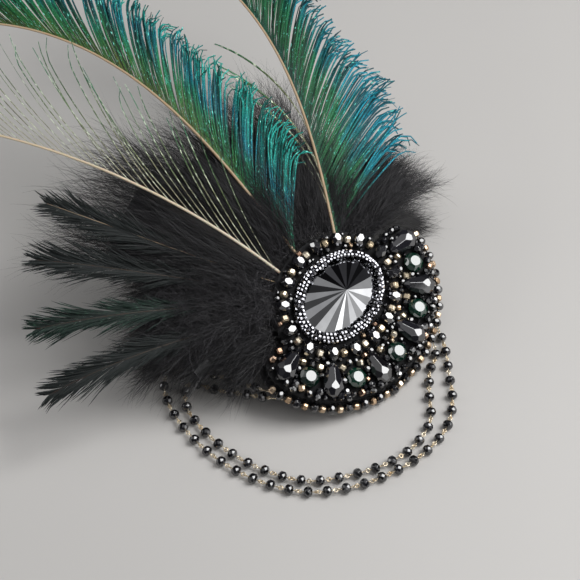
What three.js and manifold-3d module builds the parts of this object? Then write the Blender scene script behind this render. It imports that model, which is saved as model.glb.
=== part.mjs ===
// A flapper hair ornament: a felt crescent covered with faceted stones round one large oval
// stone, sword feathers, marabou and hackles held between its two felts, and two draped chains
// of black beads. Millimetres, +Z up, shown as it lies on a table, leaning on its feathers.
// The origin is the middle of the clip's underside.

import * as THREE from 'three';
import { mergeVertices } from 'three/addons/utils/BufferGeometryUtils.js';
import Module from 'manifold-3d';

const wasm = await Module();
wasm.setup();

const rad = THREE.MathUtils.degToRad;

// Lie of the ornament
const TILT = rad(28); // lean of the felts on the feathers
const DESIGN_TURN = rad(8); // the stones' own turn on the clip
const GAP = 0.3; // clearance between pieces that touch

// Felts and clip, in the order in which they are stacked
const CLIP_LENGTH = 45;
const CLIP_WIDTH = 8;
const CLIP_THICK = 1.2;
const FELT_THICK = 1.2;
const DOWN_THICK = 0.8; // stems of the marabou between the felts
const QUILL_RADIUS = 0.7;
const BACK_BASE = CLIP_THICK + GAP;
const DOWN_BASE = BACK_BASE + FELT_THICK + GAP;
const DOWN_TOP = DOWN_BASE + DOWN_THICK;
const QUILL_LEVEL = DOWN_TOP + GAP + QUILL_RADIUS;
const FRONT_BASE = QUILL_LEVEL + QUILL_RADIUS + GAP;
const SEAT = FRONT_BASE + FELT_THICK + GAP; // underside of everything sewn on

// Main stone and its beaded bezel
const STONE_LENGTH = 40;
const STONE_WIDTH = 27.4;
const STONE_PAVILION = 1.6;
const STONE_GIRDLE = 0.8;
const STONE_CROWN = 7.2;
const STONE_TABLE = 0.5; // half width of the small table on the peak
const BEZEL_WALL = 3.2;
const BEZEL_LIP = 1.7; // how far the bezel reaches over the stone
const BEZEL_THICK = 0.8;

// Ring of beads round the bezel
const RING_COUNT = 15;
const RING_BLACK = 5.5;
const RING_GOLD = 3.2;
const RING_CLEARANCE = 1.2; // between the bezel and the ring's black beads
const BEAD_SIDES = 10;

// Crescent of larger stones
const GREEN_WIDTH = 8;
const GREEN_HEIGHT = 4.6;
const DROP_LENGTH = 14;
const DROP_WIDTH = 8.4;
const DROP_HEIGHT = 5.6;
const CRESCENT_STEP = rad(16.6); // angle between neighbours along the crescent
const CRESCENT_CLEARANCE = 1.2; // between the ring's beads and the stones
const FELT_MARGIN = 1.0; // felt seen outside the stones

// Beads sewn along the crescent's rim
const EDGE_BLACK = 4;
const EDGE_GOLD = 3;
const EDGE_PAIRS = 18;
const EDGE_THREAD = 1.2; // waist between two of them
const HORN_START = rad(188); // where the crescent's row begins and ends
const HORN_END = rad(352);

// Draped chains
const CHAIN_BEAD = 4;
const CHAIN_LINK = 1.1;
const CHAIN_PITCH = 7.4;
const CHAIN_LEAD = 3; // bare wire between the rim and the first bead

// Feathers
const VANE_THICK = 0.5;
const VANE_NOTCH = 0.6; // where the locks of barbs part, as a share of their length
const QUILL_STEPS = 32; // sections of a sword feather, two for each lock of barbs
const QUILL_TIP = 0.55; // tip width as a share of the root's
const SWORD_LENGTH = 220; // length of the longest quill
const SWORD_SAG = 30;
const SWORD_BARB = 72; // length of the longest barbs
const HACKLE_LENGTH = 104;
const HACKLE_ROOT = 20; // distance of their roots from the middle
const HACKLE_WIDTH = 9;
const HACKLE_SAG = 8;
const HACKLE_THICK = 0.9;
const TUFT_DEPTH = 12; // thickness of a lock of marabou
const TUFT_WIDTH = 15;
const TUFT_REACH = 94; // reach of the longest lock from the felts' middle
const TUFT_SINK = 58;
const STEM_WIDTH = 4.6; // width of a lock between the felts
const FELT_EDGE_ROOM = 2.5; // length of thin stem left outside the felt's edge

// Derived sizes of the ring, the crescent and the felts
const bezelHalf = {
  x: STONE_LENGTH / 2 + GAP + BEZEL_WALL,
  y: STONE_WIDTH / 2 + GAP + BEZEL_WALL,
};
const ringHalf = {
  x: bezelHalf.x + RING_CLEARANCE + RING_BLACK / 2,
  y: bezelHalf.y + RING_CLEARANCE + RING_BLACK / 2,
};
const ringOuter = { x: ringHalf.x + RING_BLACK / 2, y: ringHalf.y + RING_BLACK / 2 };
const crescentHalf = {
  x: ringOuter.x + CRESCENT_CLEARANCE + DROP_LENGTH / 2,
  y: ringOuter.y + CRESCENT_CLEARANCE + DROP_LENGTH / 2,
};
const feltHalf = {
  x: crescentHalf.x + DROP_LENGTH / 2 + FELT_MARGIN,
  y: crescentHalf.y + DROP_LENGTH / 2 + FELT_MARGIN,
};
const edgeOffset = EDGE_BLACK / 2 + GAP + 0.1;
const edgeLevel = DOWN_BASE + EDGE_BLACK / 2;
const backGrow = edgeOffset - EDGE_BLACK / 4;

// The back felt's lowest point touches the table, and this is the table's height
const backHalf = { x: feltHalf.x + backGrow, y: feltHalf.y + backGrow };
const FLOOR = BACK_BASE * Math.cos(TILT)
  - Math.hypot(backHalf.x * Math.sin(DESIGN_TURN), backHalf.y * Math.cos(DESIGN_TURN))
  * Math.sin(TILT);
const DOWN = new THREE.Vector3(0, -Math.sin(TILT), -Math.cos(TILT)); // in the felts' frame
const NORMAL = new THREE.Vector3(0, 0, 1);

// Chosen points of the two chains, seen from above, from the lower rim round to the fluff
const OUTER_ROUTE = [
  [28.5, -36], [23, -43.5], [17, -50], [9, -59], [-2, -66.5], [-16, -69], [-32, -67],
  [-50, -60], [-65, -48],
  [-75, -28], [-78, -5], [-74, 17], [-66, 29], [-56, 30], [-52, 20],
];
const INNER_ROUTE = [
  [20, -40.4], [12.5, -43.8], [4, -51], [-6, -60.5], [-19, -64], [-33, -62], [-48, -55],
  [-61, -45], [-70, -26], [-72.5, -5], [-69, 13], [-61, 20], [-55, 10],
];

// Places on the rim where the chains are sewn on
const OUTER_ENDS = { start: rad(-57), end: rad(188) };
const INNER_ENDS = { start: rad(-65), end: rad(196) };

// Sword feathers: root, course of the quill and the barbs on one side of it. Length, sag and
// barb are shares of the longest
const SWORDS = [
  {
    name: 'sword_feather_middle', rootX: -1, rootY: 9, length: 1, sag: 0.87,
    heading: 90, turn: -25, curl: 98,
    barb: 0.64, from: 0.12, off: 30, offEnd: 46, lift: 0.03,
    color: 0x1f7f5c,
  },
  {
    name: 'sword_feather_left', rootX: -9, rootY: 10.5, length: 0.91, sag: 0.67,
    heading: 104, turn: 29, curl: 5,
    barb: 1, from: 0.15, off: 20, offEnd: 40, lift: 0.14,
    color: 0x5f8a4a,
  },
  {
    name: 'sword_feather_right', rootX: 11, rootY: 8, length: 0.93, sag: 1,
    heading: 60, turn: -5, curl: 71,
    barb: 0.67, from: 0.13, off: 26, offEnd: 40, lift: 0.03,
    color: 0x17806b,
  },
];

// Length of the barbs along a sword feather's quill, as shares of the quill and of the longest
const BARB_ENVELOPE = [
  { along: 0, share: 0.75 },
  { along: 0.25, share: 0.95 },
  { along: 0.5, share: 1 },
  { along: 0.8, share: 0.8 },
  { along: 1, share: 0.4 },
];

// Marabou tufts: a row for each lock, with its heading, its reach and sink as shares of the
// greatest, and how it bends sideways
const TUFTS = {
  marabou_left: [
    { heading: 135, reach: 0.85, sink: 0.24, bend: 0 },
    { heading: 142, reach: 1, sink: 0.79, bend: 0 },
    { heading: 149, reach: 0.85, sink: 0.34, bend: 0 },
    { heading: 156, reach: 0.89, sink: 0.45, bend: 0 },
    { heading: 163, reach: 0.74, sink: 0.14, bend: 5 },
  ],
  marabou_middle: [
    { heading: 84, reach: 0.66, sink: 0.21, bend: 0 },
    { heading: 92, reach: 0.77, sink: 1, bend: 0 },
    { heading: 101, reach: 0.64, sink: 0.28, bend: 0 },
    { heading: 110, reach: 0.79, sink: 0.97, bend: 0 },
    { heading: 117, reach: 0.68, sink: 0.24, bend: 0 },
  ],
  marabou_right: [
    { heading: 27, reach: 0.77, sink: 0.45, bend: -16 },
    { heading: 34, reach: 0.85, sink: 0.21, bend: -10 },
    { heading: 41, reach: 0.85, sink: 0.76, bend: -4 },
    { heading: 49, reach: 0.85, sink: 0.24, bend: 0 },
    { heading: 57, reach: 0.81, sink: 0.76, bend: 0 },
  ],
};

// Sections of a lock of marabou outside the felts, as shares of its length, width and depth
const LOCK_SECTIONS = [
  { along: 0, width: 0.3, depth: 0 },
  { along: 0.3, width: 0.9, depth: 0.75 },
  { along: 0.6, width: 1, depth: 1 },
  { along: 0.85, width: 0.6, depth: 0.6 },
  { along: 1, width: 0.12, depth: 0.1 },
];

const HACKLES = [
  { heading: 129, bend: -6 },
  { heading: 138, bend: -4 },
  { heading: 148, bend: -1 },
  { heading: 158, bend: 1 },
];

// Widths of a hackle along its shaft, as shares
const HACKLE_SECTIONS = [
  { along: 0, width: 0.16 },
  { along: 0.28, width: 0.3 },
  { along: 0.5, width: 0.85 },
  { along: 0.68, width: 1 },
  { along: 0.88, width: 0.62 },
  { along: 1, width: 0.08 },
];

// Girdle angles of the main stone's facets, uneven as they were cut
const STONE_FACETS = [
  3, 17, 30, 41, 56, 70, 82, 95, 109, 124, 138, 152,
  168, 186, 205, 221, 233, 247, 261, 273, 286, 301, 318, 340,
];

const COLORS = {
  felt: 0x17161a,
  steel: 0x9a9aa0,
  jet: 0x0b0c10,
  gold: 0xc9a56a,
  green: 0x0c3a2a,
  hematite: 0x55565c,
  down: 0x1b1b20,
  hackle: 0x20242a,
};

function finish(color, roughness, metalness) {
  return new THREE.MeshStandardMaterial({ color, roughness, metalness });
}

// Turns the faces of a closed mesh outwards, by the sign of the volume that they enclose
function outward(geometry) {
  const place = geometry.attributes.position;
  const index = Array.from(geometry.index.array);
  const corner = [0, 1, 2].map(() => new THREE.Vector3());
  let volume = 0;
  for (let k = 0; k < index.length; k += 3) {
    corner.forEach((point, j) => point.fromBufferAttribute(place, index[k + j]));
    volume += corner[0].dot(corner[1].clone().cross(corner[2]));
  }
  if (volume < 0) {
    for (let k = 0; k < index.length; k += 3) {
      [index[k + 1], index[k + 2]] = [index[k + 2], index[k + 1]];
    }
    geometry.setIndex(index);
  }
  return geometry;
}

// A closed body through rings of equally many points, with a flat fan at each end
function loft(rings) {
  const sides = rings[0].length;
  const faces = [];
  for (let ring = 0; ring < rings.length - 1; ring++) {
    for (let side = 0; side < sides; side++) {
      const a = ring * sides + side;
      const b = ring * sides + ((side + 1) % sides);
      faces.push(a, b, a + sides, b, b + sides, a + sides);
    }
  }
  const last = (rings.length - 1) * sides;
  for (let side = 1; side < sides - 1; side++) {
    faces.push(0, side + 1, side, last, last + side, last + side + 1);
  }
  const geometry = new THREE.BufferGeometry().setFromPoints(rings.flat());
  geometry.setIndex(faces);
  return outward(geometry);
}

// A closed band: rings that follow each other right round
function closedLoft(rings) {
  const sides = rings[0].length;
  const faces = [];
  rings.forEach((_, ring) => {
    const next = (ring + 1) % rings.length;
    for (let side = 0; side < sides; side++) {
      const turned = (side + 1) % sides;
      const a = ring * sides + side;
      const b = ring * sides + turned;
      const c = next * sides + side;
      const d = next * sides + turned;
      faces.push(a, b, c, b, d, c);
    }
  });
  const geometry = new THREE.BufferGeometry().setFromPoints(rings.flat());
  geometry.setIndex(faces);
  return outward(geometry);
}

// The same mesh with shared corners, so that it is one closed skin
function closed(geometry) {
  const bare = geometry.clone();
  bare.deleteAttribute('normal');
  bare.deleteAttribute('uv');
  return mergeVertices(bare);
}

function toManifold(geometry) {
  const merged = closed(geometry);
  return new wasm.Manifold(new wasm.Mesh({
    numProp: 3,
    vertProperties: merged.attributes.position.array,
    triVerts: new Uint32Array(merged.index.array),
  }));
}

// One body from several that cross
function fuse(geometries) {
  const mesh = geometries.map(toManifold).reduce((whole, next) => whole.add(next)).getMesh();
  const geometry = new THREE.BufferGeometry();
  geometry.setAttribute('position', new THREE.BufferAttribute(mesh.vertProperties, 3));
  geometry.setIndex(new THREE.BufferAttribute(mesh.triVerts, 1));
  return geometry;
}

function named(name, geometry, material, parent) {
  const mesh = new THREE.Mesh(geometry, material);
  mesh.name = name;
  parent.add(mesh);
  return mesh;
}

function ellipsePoint(half, angle) {
  return new THREE.Vector2(half.x * Math.cos(angle), half.y * Math.sin(angle));
}

// Angles that divide an ellipse's arc into equal lengths
function evenAngles(half, start, end, count, closed) {
  const samples = 720;
  const lengths = [0];
  for (let k = 1; k <= samples; k++) {
    const before = ellipsePoint(half, start + ((end - start) * (k - 1)) / samples);
    const after = ellipsePoint(half, start + ((end - start) * k) / samples);
    lengths.push(lengths[k - 1] + before.distanceTo(after));
  }
  const spans = closed ? count : count - 1;
  return Array.from({ length: count }, (_, k) => {
    const wanted = (lengths[samples] * k) / spans;
    const at = Math.max(1, lengths.findIndex((length) => length >= wanted - 1e-9));
    const share = (wanted - lengths[at - 1]) / (lengths[at] - lengths[at - 1]);
    return start + ((end - start) * (at - 1 + share)) / samples;
  });
}

function table(rows, column, along) {
  const after = Math.max(1, rows.findIndex((row) => row.along >= along));
  const low = rows[after - 1];
  const high = rows[after];
  const share = (along - low.along) / (high.along - low.along);
  return THREE.MathUtils.lerp(low[column], high[column], share);
}

// Outline of the felts: the ring's oval above, the crescent's larger oval below, round horns
function feltOutline(grow) {
  const small = {
    x: ringOuter.x + FELT_MARGIN + grow,
    y: ringOuter.y + FELT_MARGIN + grow,
  };
  const large = { x: feltHalf.x + grow, y: feltHalf.y + grow };
  const meet = rad(9);
  const top = small.y * Math.sin(meet);
  const left = ellipsePoint(large, HORN_START);
  const inner = large.x - top - FELT_MARGIN * 4;
  const shape = new THREE.Shape();
  shape.absellipse(0, 0, small.x, small.y, meet, Math.PI - meet);
  shape.lineTo(-inner, top);
  shape.quadraticCurveTo(left.x, top, left.x, left.y);
  shape.absellipse(0, 0, large.x, large.y, HORN_START, HORN_END);
  shape.quadraticCurveTo(-left.x, top, inner, top);
  shape.closePath();
  return shape;
}

function felt(grow, base) {
  const geometry = new THREE.ExtrudeGeometry(feltOutline(grow), {
    depth: FELT_THICK, bevelEnabled: false, curveSegments: 12,
  });
  return geometry.translate(0, 0, base);
}

function clipGeometry() {
  const half = CLIP_WIDTH / 2;
  const reach = CLIP_LENGTH / 2 - half;
  const shape = new THREE.Shape();
  shape.absarc(reach, 0, half, -Math.PI / 2, Math.PI / 2);
  shape.absarc(-reach, 0, half, Math.PI / 2, (3 * Math.PI) / 2);
  shape.closePath();
  return new THREE.ExtrudeGeometry(shape, {
    depth: CLIP_THICK, bevelEnabled: false, curveSegments: 6,
  });
}

// The oval stone: a steep cone of uneven facets with a small table on its peak
function mainStone() {
  const levels = [
    { share: 0.84, level: 0 },
    { share: 1, level: STONE_PAVILION },
    { share: 1, level: STONE_PAVILION + STONE_GIRDLE },
  ];
  const half = { x: STONE_LENGTH / 2, y: STONE_WIDTH / 2 };
  const rings = levels.map(({ share, level }) => STONE_FACETS.map((angle) => {
    const point = ellipsePoint(half, rad(angle));
    return new THREE.Vector3(point.x * share, point.y * share, SEAT + level);
  }));
  rings.push(STONE_FACETS.map((angle) => new THREE.Vector3(
    STONE_TABLE * Math.cos(rad(angle)),
    STONE_TABLE * Math.sin(rad(angle)),
    SEAT + STONE_PAVILION + STONE_GIRDLE + STONE_CROWN,
  )));
  return loft(rings);
}

// The bezel: a wall round the girdle whose lip follows the stone's crown
function bezel() {
  const slope = STONE_CROWN / (STONE_WIDTH / 2);
  const crown = SEAT + STONE_PAVILION + STONE_GIRDLE;
  const lipUnder = crown + GAP + (BEZEL_LIP + GAP) * slope;
  const profile = [
    { out: GAP, level: SEAT },
    { out: GAP + BEZEL_WALL, level: SEAT },
    { out: GAP + BEZEL_WALL * 0.85, level: crown },
    { out: GAP + BEZEL_WALL * 0.4, level: crown + GAP + BEZEL_THICK },
    { out: -BEZEL_LIP * 0.4, level: lipUnder + BEZEL_THICK },
    { out: -BEZEL_LIP, level: lipUnder + BEZEL_THICK * 0.6 },
    { out: -BEZEL_LIP, level: lipUnder },
    { out: GAP, level: crown + GAP },
  ];
  const segments = 32;
  const rings = Array.from({ length: segments }, (_, k) => {
    const angle = (2 * Math.PI * k) / segments;
    return profile.map(({ out, level }) => {
      const half = { x: STONE_LENGTH / 2 + out, y: STONE_WIDTH / 2 + out };
      const point = ellipsePoint(half, angle);
      return new THREE.Vector3(point.x, point.y, level);
    });
  });
  return closedLoft(rings);
}

// A round bead with faceted sides, its hole along X
function bead(width, length, endShare) {
  const stations = [
    { at: -0.5, share: endShare },
    { at: 0, share: 1 },
    { at: 0.5, share: endShare },
  ];
  return loft(stations.map(({ at, share }, row) => Array.from({ length: BEAD_SIDES }, (_, k) => {
    const angle = (2 * Math.PI * (k + (row % 2) / 2)) / BEAD_SIDES;
    const radius = (width / 2) * share;
    return new THREE.Vector3(at * length, radius * Math.cos(angle), radius * Math.sin(angle));
  })));
}

// A bead with closed ends that come to a low point
function spindle(width, length) {
  const half = length / 2;
  const flat = length / 6;
  const profile = [
    new THREE.Vector2(0, -half), new THREE.Vector2(width / 2, -flat),
    new THREE.Vector2(width / 2, flat), new THREE.Vector2(0, half),
  ];
  return new THREE.LatheGeometry(profile, BEAD_SIDES).rotateZ(Math.PI / 2);
}

// A pear stone lying with its point inwards, along X, with a flat table on top
function dropStone() {
  const sections = [
    { along: -0.5, width: 0.08, height: 0.16 },
    { along: -0.2, width: 0.6, height: 0.66 },
    { along: 0.14, width: 1, height: 1 },
    { along: 0.34, width: 0.86, height: 0.94 },
    { along: 0.5, width: 0.46, height: 0.52 },
  ];
  const sides = 8;
  return loft(sections.map(({ along, width, height }) => Array.from({ length: sides }, (_, k) => {
    const angle = (2 * Math.PI * (k + 0.5)) / sides;
    const flat = Math.cos(Math.PI / sides);
    return new THREE.Vector3(
      along * DROP_LENGTH,
      ((Math.cos(angle) / flat) * width * DROP_WIDTH) / 2,
      DROP_HEIGHT / 2 + ((Math.sin(angle) / flat) * height * DROP_HEIGHT) / 2,
    );
  })));
}

// A round stone with a table, a crown and a shallow back
function roundStone() {
  const profile = [
    new THREE.Vector2(0, 0),
    new THREE.Vector2(GREEN_WIDTH * 0.3, 0),
    new THREE.Vector2(GREEN_WIDTH / 2, GREEN_HEIGHT * 0.4),
    new THREE.Vector2(GREEN_WIDTH / 2, GREEN_HEIGHT * 0.52),
    new THREE.Vector2(GREEN_WIDTH * 0.21, GREEN_HEIGHT),
    new THREE.Vector2(0, GREEN_HEIGHT),
  ];
  return new THREE.LatheGeometry(profile, BEAD_SIDES).rotateX(Math.PI / 2);
}

// Black and gold beads that take turns on the ring
function addRing(parent) {
  const black = finish(COLORS.jet, 0.08, 0.6);
  const gold = finish(COLORS.gold, 0.25, 1);
  const angles = evenAngles(ringHalf, 0, 2 * Math.PI, RING_COUNT * 2, true);
  angles.forEach((angle, k) => {
    const width = k % 2 ? RING_GOLD : RING_BLACK;
    const number = Math.floor(k / 2) + 1;
    const name = `${k % 2 ? 'ring_gold_bead' : 'ring_black_bead'}_${number}`;
    const shape = k % 2 ? spindle(width, width) : bead(width, width * 0.86, 0.5);
    const mesh = named(name, shape, k % 2 ? gold : black, parent);
    const point = ellipsePoint(ringHalf, angle);
    mesh.position.set(point.x, point.y, SEAT + width / 2);
    mesh.rotation.z = Math.atan2(ringHalf.y * Math.cos(angle), -ringHalf.x * Math.sin(angle));
  });
}

// Pear stones and round stones that take turns along the crescent
function addCrescent(parent) {
  const black = finish(COLORS.jet, 0.06, 0.5);
  const green = finish(COLORS.green, 0.06, 0.3);
  const count = 11;
  for (let k = 0; k < count; k++) {
    const angle = -Math.PI / 2 + CRESCENT_STEP * (k - (count - 1) / 2);
    const isDrop = k % 2 === 0;
    const number = Math.floor(k / 2) + 1;
    const name = `${isDrop ? 'drop_stone' : 'green_stone'}_${number}`;
    const mesh = named(name, isDrop ? dropStone() : roundStone(), isDrop ? black : green, parent);
    const point = ellipsePoint(crescentHalf, angle);
    const heading = Math.atan2(point.y * crescentHalf.x, point.x * crescentHalf.y);
    mesh.position.set(point.x, point.y, SEAT);
    mesh.rotation.z = heading;
  }
}

// Rings of points round a path, with a radius at each station
function ringsAlong(stations, sides) {
  return stations.map(({ point, tangent, radius }) => {
    const side = tangent.clone().cross(NORMAL).normalize();
    const upper = side.clone().cross(tangent);
    return Array.from({ length: sides }, (_, k) => {
      const angle = (2 * Math.PI * (k + 0.5)) / sides;
      return point.clone()
        .addScaledVector(side, radius * Math.cos(angle))
        .addScaledVector(upper, radius * Math.sin(angle));
    });
  });
}

// The rim's beads: one string that swells at each bead, black and gold in turn
function edgeBeads() {
  const row = { x: feltHalf.x + edgeOffset, y: feltHalf.y + edgeOffset };
  const angles = evenAngles(row, HORN_START, HORN_END, EDGE_PAIRS * 4 + 1, false);
  return loft(ringsAlong(angles.map((angle, k) => {
    const bead = k % 4 === 2 ? EDGE_BLACK : EDGE_GOLD;
    const width = k % 2 ? EDGE_THREAD : bead;
    const place = ellipsePoint(row, angle);
    return {
      point: new THREE.Vector3(place.x, place.y, edgeLevel),
      tangent: new THREE.Vector3(-row.x * Math.sin(angle), row.y * Math.cos(angle), 0).normalize(),
      radius: width / 2,
    };
  }), BEAD_SIDES));
}

// Points of a quill in the felts' frame: its heading turns steadily along its length, and it
// sags with the square of the distance
function quillPath(sword) {
  const step = (SWORD_LENGTH * sword.length) / QUILL_STEPS;
  const foot = new THREE.Vector3(sword.rootX, sword.rootY, QUILL_LEVEL);
  return Array.from({ length: QUILL_STEPS + 1 }, (_, k) => {
    const along = k / QUILL_STEPS;
    const point = foot.clone().addScaledVector(DOWN, SWORD_SAG * sword.sag * along * along);
    const heading = rad(sword.heading + sword.turn * along + sword.curl * along * along);
    foot.x += step * Math.cos(heading);
    foot.y += step * Math.sin(heading);
    return point;
  });
}

function tangentAt(points, k) {
  const before = points[Math.max(0, k - 1)];
  const after = points[Math.min(points.length - 1, k + 1)];
  return after.clone().sub(before).normalize();
}

// Place on a barb: it leaves the quill at an angle that opens evenly towards its tip, and lifts
// a little out of the feather's plane
function barbPoint(sword, foot, frame, length, share) {
  const start = rad(sword.off);
  const open = rad(sword.offEnd - sword.off);
  const forward = (Math.sin(start + open * share) - Math.sin(start)) / open;
  const sideways = (Math.cos(start) - Math.cos(start + open * share)) / open;
  return foot.clone().addScaledVector(frame.tangent, length * forward)
    .addScaledVector(frame.side, length * sideways)
    .addScaledVector(frame.upper, length * share * sword.lift);
}

// A section across the feather: four points round the quill and a thin leaf on one side, whose
// width goes out and in from one section to the next and so makes the tips of the locks
function featherSection(sword, points, k) {
  const last = points.length - 1;
  const along = k / last;
  const tangent = tangentAt(points, k);
  const side = tangent.clone().cross(NORMAL).normalize();
  const frame = { tangent, side, upper: side.clone().cross(tangent) };
  const radius = QUILL_RADIUS * THREE.MathUtils.lerp(1, QUILL_TIP, along);
  const foot = points[k];
  const bare = along < sword.from || k === last;
  const vaneShare = Math.max(0, (along - sword.from) / (1 - sword.from));
  const length = SWORD_BARB * sword.barb * table(BARB_ENVELOPE, 'share', vaneShare);
  const tooth = k % 2 ? 1 : VANE_NOTCH;
  const leaf = (sign) => [0.3, 0.65, 1].map((share) => {
    const half = (VANE_THICK / 2) * (1 - 0.5 * share) * sign;
    const place = bare
      ? foot.clone().addScaledVector(side, radius * (0.6 + 0.4 * share))
      : barbPoint(sword, foot, frame, length, share * tooth);
    return place.addScaledVector(frame.upper, half);
  });
  const around = [90, 150, 210, 270].map((degrees) => foot.clone()
    .addScaledVector(side, radius * Math.cos(rad(degrees)))
    .addScaledVector(frame.upper, radius * Math.sin(rad(degrees))));
  return [...leaf(1).reverse(), ...around, ...leaf(-1)];
}

function swordFeather(sword) {
  const points = quillPath(sword);
  return loft(points.map((_, k) => featherSection(sword, points, k)));
}

// Distance from the felts' middle to their edge at a heading of the ring's oval
function edgeReach(heading) {
  const turned = heading - DESIGN_TURN;
  const half = { x: ringOuter.x + FELT_MARGIN + backGrow, y: ringOuter.y + FELT_MARGIN + backGrow };
  return 1 / Math.hypot(Math.cos(turned) / half.x, Math.sin(turned) / half.y);
}

// A lock of marabou: a thin stem between the felts that swells below the quills outside them,
// and never sinks below the table
function downLock(row) {
  const heading = rad(row.heading);
  const edge = edgeReach(heading) + FELT_EDGE_ROOM;
  const stem = DOWN_THICK / 2;
  const sides = 6;
  const stations = [{ reach: edge * 0.55, width: STEM_WIDTH / 2, depth: stem, sink: 0, bend: 0 }];
  LOCK_SECTIONS.forEach(({ along, width, depth }) => stations.push({
    reach: THREE.MathUtils.lerp(edge, TUFT_REACH * row.reach, along),
    width: THREE.MathUtils.lerp(STEM_WIDTH, TUFT_WIDTH * width, Math.min(1, along * 4)) / 2,
    depth: stem + (TUFT_DEPTH / 2 - stem) * depth,
    sink: TUFT_SINK * row.sink * along * along,
    bend: rad(row.bend) * along,
  }));
  return loft(stations.map(({ reach, width, depth, sink, bend }) => {
    const out = new THREE.Vector3(Math.cos(heading + bend), Math.sin(heading + bend), 0);
    const across = new THREE.Vector3(-out.y, out.x, 0);
    const centre = out.clone().multiplyScalar(reach);
    centre.z = DOWN_TOP - depth;
    centre.addScaledVector(DOWN, sink);
    const height = centre.y * Math.sin(TILT) + centre.z * Math.cos(TILT) - depth;
    centre.addScaledVector(DOWN, -Math.max(0, FLOOR - height));
    return Array.from({ length: sides }, (_, k) => {
      const angle = (2 * Math.PI * k) / sides;
      return centre.clone()
        .addScaledVector(across, width * Math.cos(angle))
        .addScaledVector(NORMAL, depth * Math.sin(angle));
    });
  }));
}

// A hackle: a flat pointed feather with a low ridge along its shaft
function hackle(row, number) {
  const heading = rad(row.heading);
  const start = new THREE.Vector3(Math.cos(heading), Math.sin(heading), 0)
    .multiplyScalar(HACKLE_ROOT);
  start.z = QUILL_LEVEL;
  const stations = HACKLE_SECTIONS.map(({ along, width }) => {
    const turn = heading + rad(row.bend) * along;
    const point = start.clone().addScaledVector(
      new THREE.Vector3(Math.cos(turn), Math.sin(turn), 0), HACKLE_LENGTH * along,
    );
    point.addScaledVector(DOWN, HACKLE_SAG * along ** 3 * (1 + 0.2 * number));
    return { point, turn, width: (HACKLE_WIDTH / 2) * width };
  });
  return loft(stations.map(({ point, turn, width }) => {
    const across = new THREE.Vector3(-Math.sin(turn), Math.cos(turn), 0);
    const half = HACKLE_THICK / 2;
    return [[1, 0], [0.2, 1], [-0.2, 1], [-1, 0], [-0.2, -1], [0.2, -1]].map(([a, b]) => (
      point.clone().addScaledVector(across, a * width).addScaledVector(NORMAL, b * half)
    ));
  }));
}

// World place of a point on the back felt's rim, a little outside it
function rimPoint(angle, outside) {
  const rim = { x: backHalf.x + outside, y: backHalf.y + outside };
  const point = ellipsePoint(rim, angle);
  return new THREE.Vector3(point.x, point.y, BACK_BASE + FELT_THICK / 2)
    .applyAxisAngle(NORMAL, DESIGN_TURN)
    .applyAxisAngle(new THREE.Vector3(1, 0, 0), TILT);
}

// A string of beads on wire links: one lofted body whose width swells at each bead
function chain(route, ends) {
  const level = FLOOR + CHAIN_BEAD / 2;
  const clear = CHAIN_LINK / 2 + GAP;
  const points = [rimPoint(ends.start, clear)];
  route.forEach(([x, y]) => points.push(new THREE.Vector3(x, y, level)));
  points.push(rimPoint(ends.end, clear));
  const curve = new THREE.CatmullRomCurve3(points, false, 'centripetal');
  curve.arcLengthDivisions = 800;
  const length = curve.getLength();
  const count = Math.floor((length - 2 * CHAIN_LEAD) / CHAIN_PITCH);
  const margin = (length - count * CHAIN_PITCH) / 2;
  const shoulder = CHAIN_BEAD * 0.46;
  const stations = [{ at: 0, width: CHAIN_LINK }];
  for (let k = 0; k < count; k++) {
    const middle = margin + CHAIN_PITCH * (k + 0.5);
    stations.push({ at: middle - shoulder, width: CHAIN_LINK });
    stations.push({ at: middle, width: CHAIN_BEAD });
    stations.push({ at: middle + shoulder, width: CHAIN_LINK });
  }
  stations.push({ at: length, width: CHAIN_LINK });
  return loft(ringsAlong(stations.map(({ at, width }) => {
    const point = curve.getPointAt(at / length);
    point.z = Math.max(point.z, level);
    return { point, tangent: curve.getTangentAt(at / length), radius: width / 2 };
  }), BEAD_SIDES));
}

const headpiece = new THREE.Group();

const felts = new THREE.Group();
felts.rotation.x = TILT;
headpiece.add(felts);

const design = new THREE.Group();
design.rotation.z = DESIGN_TURN;
felts.add(design);

const feltFinish = finish(COLORS.felt, 0.95, 0);
named('back_clip', clipGeometry(), finish(COLORS.steel, 0.35, 1), design);
named('back_felt', felt(backGrow, BACK_BASE), feltFinish, design);
named('front_felt', felt(0, FRONT_BASE), feltFinish, design);
named('edge_beads', edgeBeads(), finish(COLORS.jet, 0.15, 0.4), design);
named('main_stone', mainStone(), finish(COLORS.hematite, 0.04, 0.9), design);
named('stone_bezel', bezel(), finish(COLORS.hematite, 0.2, 0.9), design);
addRing(design);
addCrescent(design);

SWORDS.forEach((sword) => {
  named(sword.name, swordFeather(sword), finish(sword.color, 0.45, 0.2), felts);
});
Object.entries(TUFTS).forEach(([name, rows]) => {
  named(name, fuse(rows.map(downLock)), finish(COLORS.down, 0.95, 0), felts);
});
HACKLES.forEach((row, k) => {
  named(`hackle_${k + 1}`, hackle(row, k), finish(COLORS.hackle, 0.6, 0), felts);
});

const beads = finish(COLORS.jet, 0.1, 0.4);
named('chain_outer', chain(OUTER_ROUTE, OUTER_ENDS), beads, headpiece);
named('chain_inner', chain(INNER_ROUTE, INNER_ENDS), beads, headpiece);

export default headpiece;
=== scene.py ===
"""A flapper hair ornament lying on a pale floor: two felts with a beaded oval stone, pear and
round stones, green sword feathers, black marabou and hackles, and two draped bead chains.
Shapes are worked out in millimetres and become metres when a mesh is made."""

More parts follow.
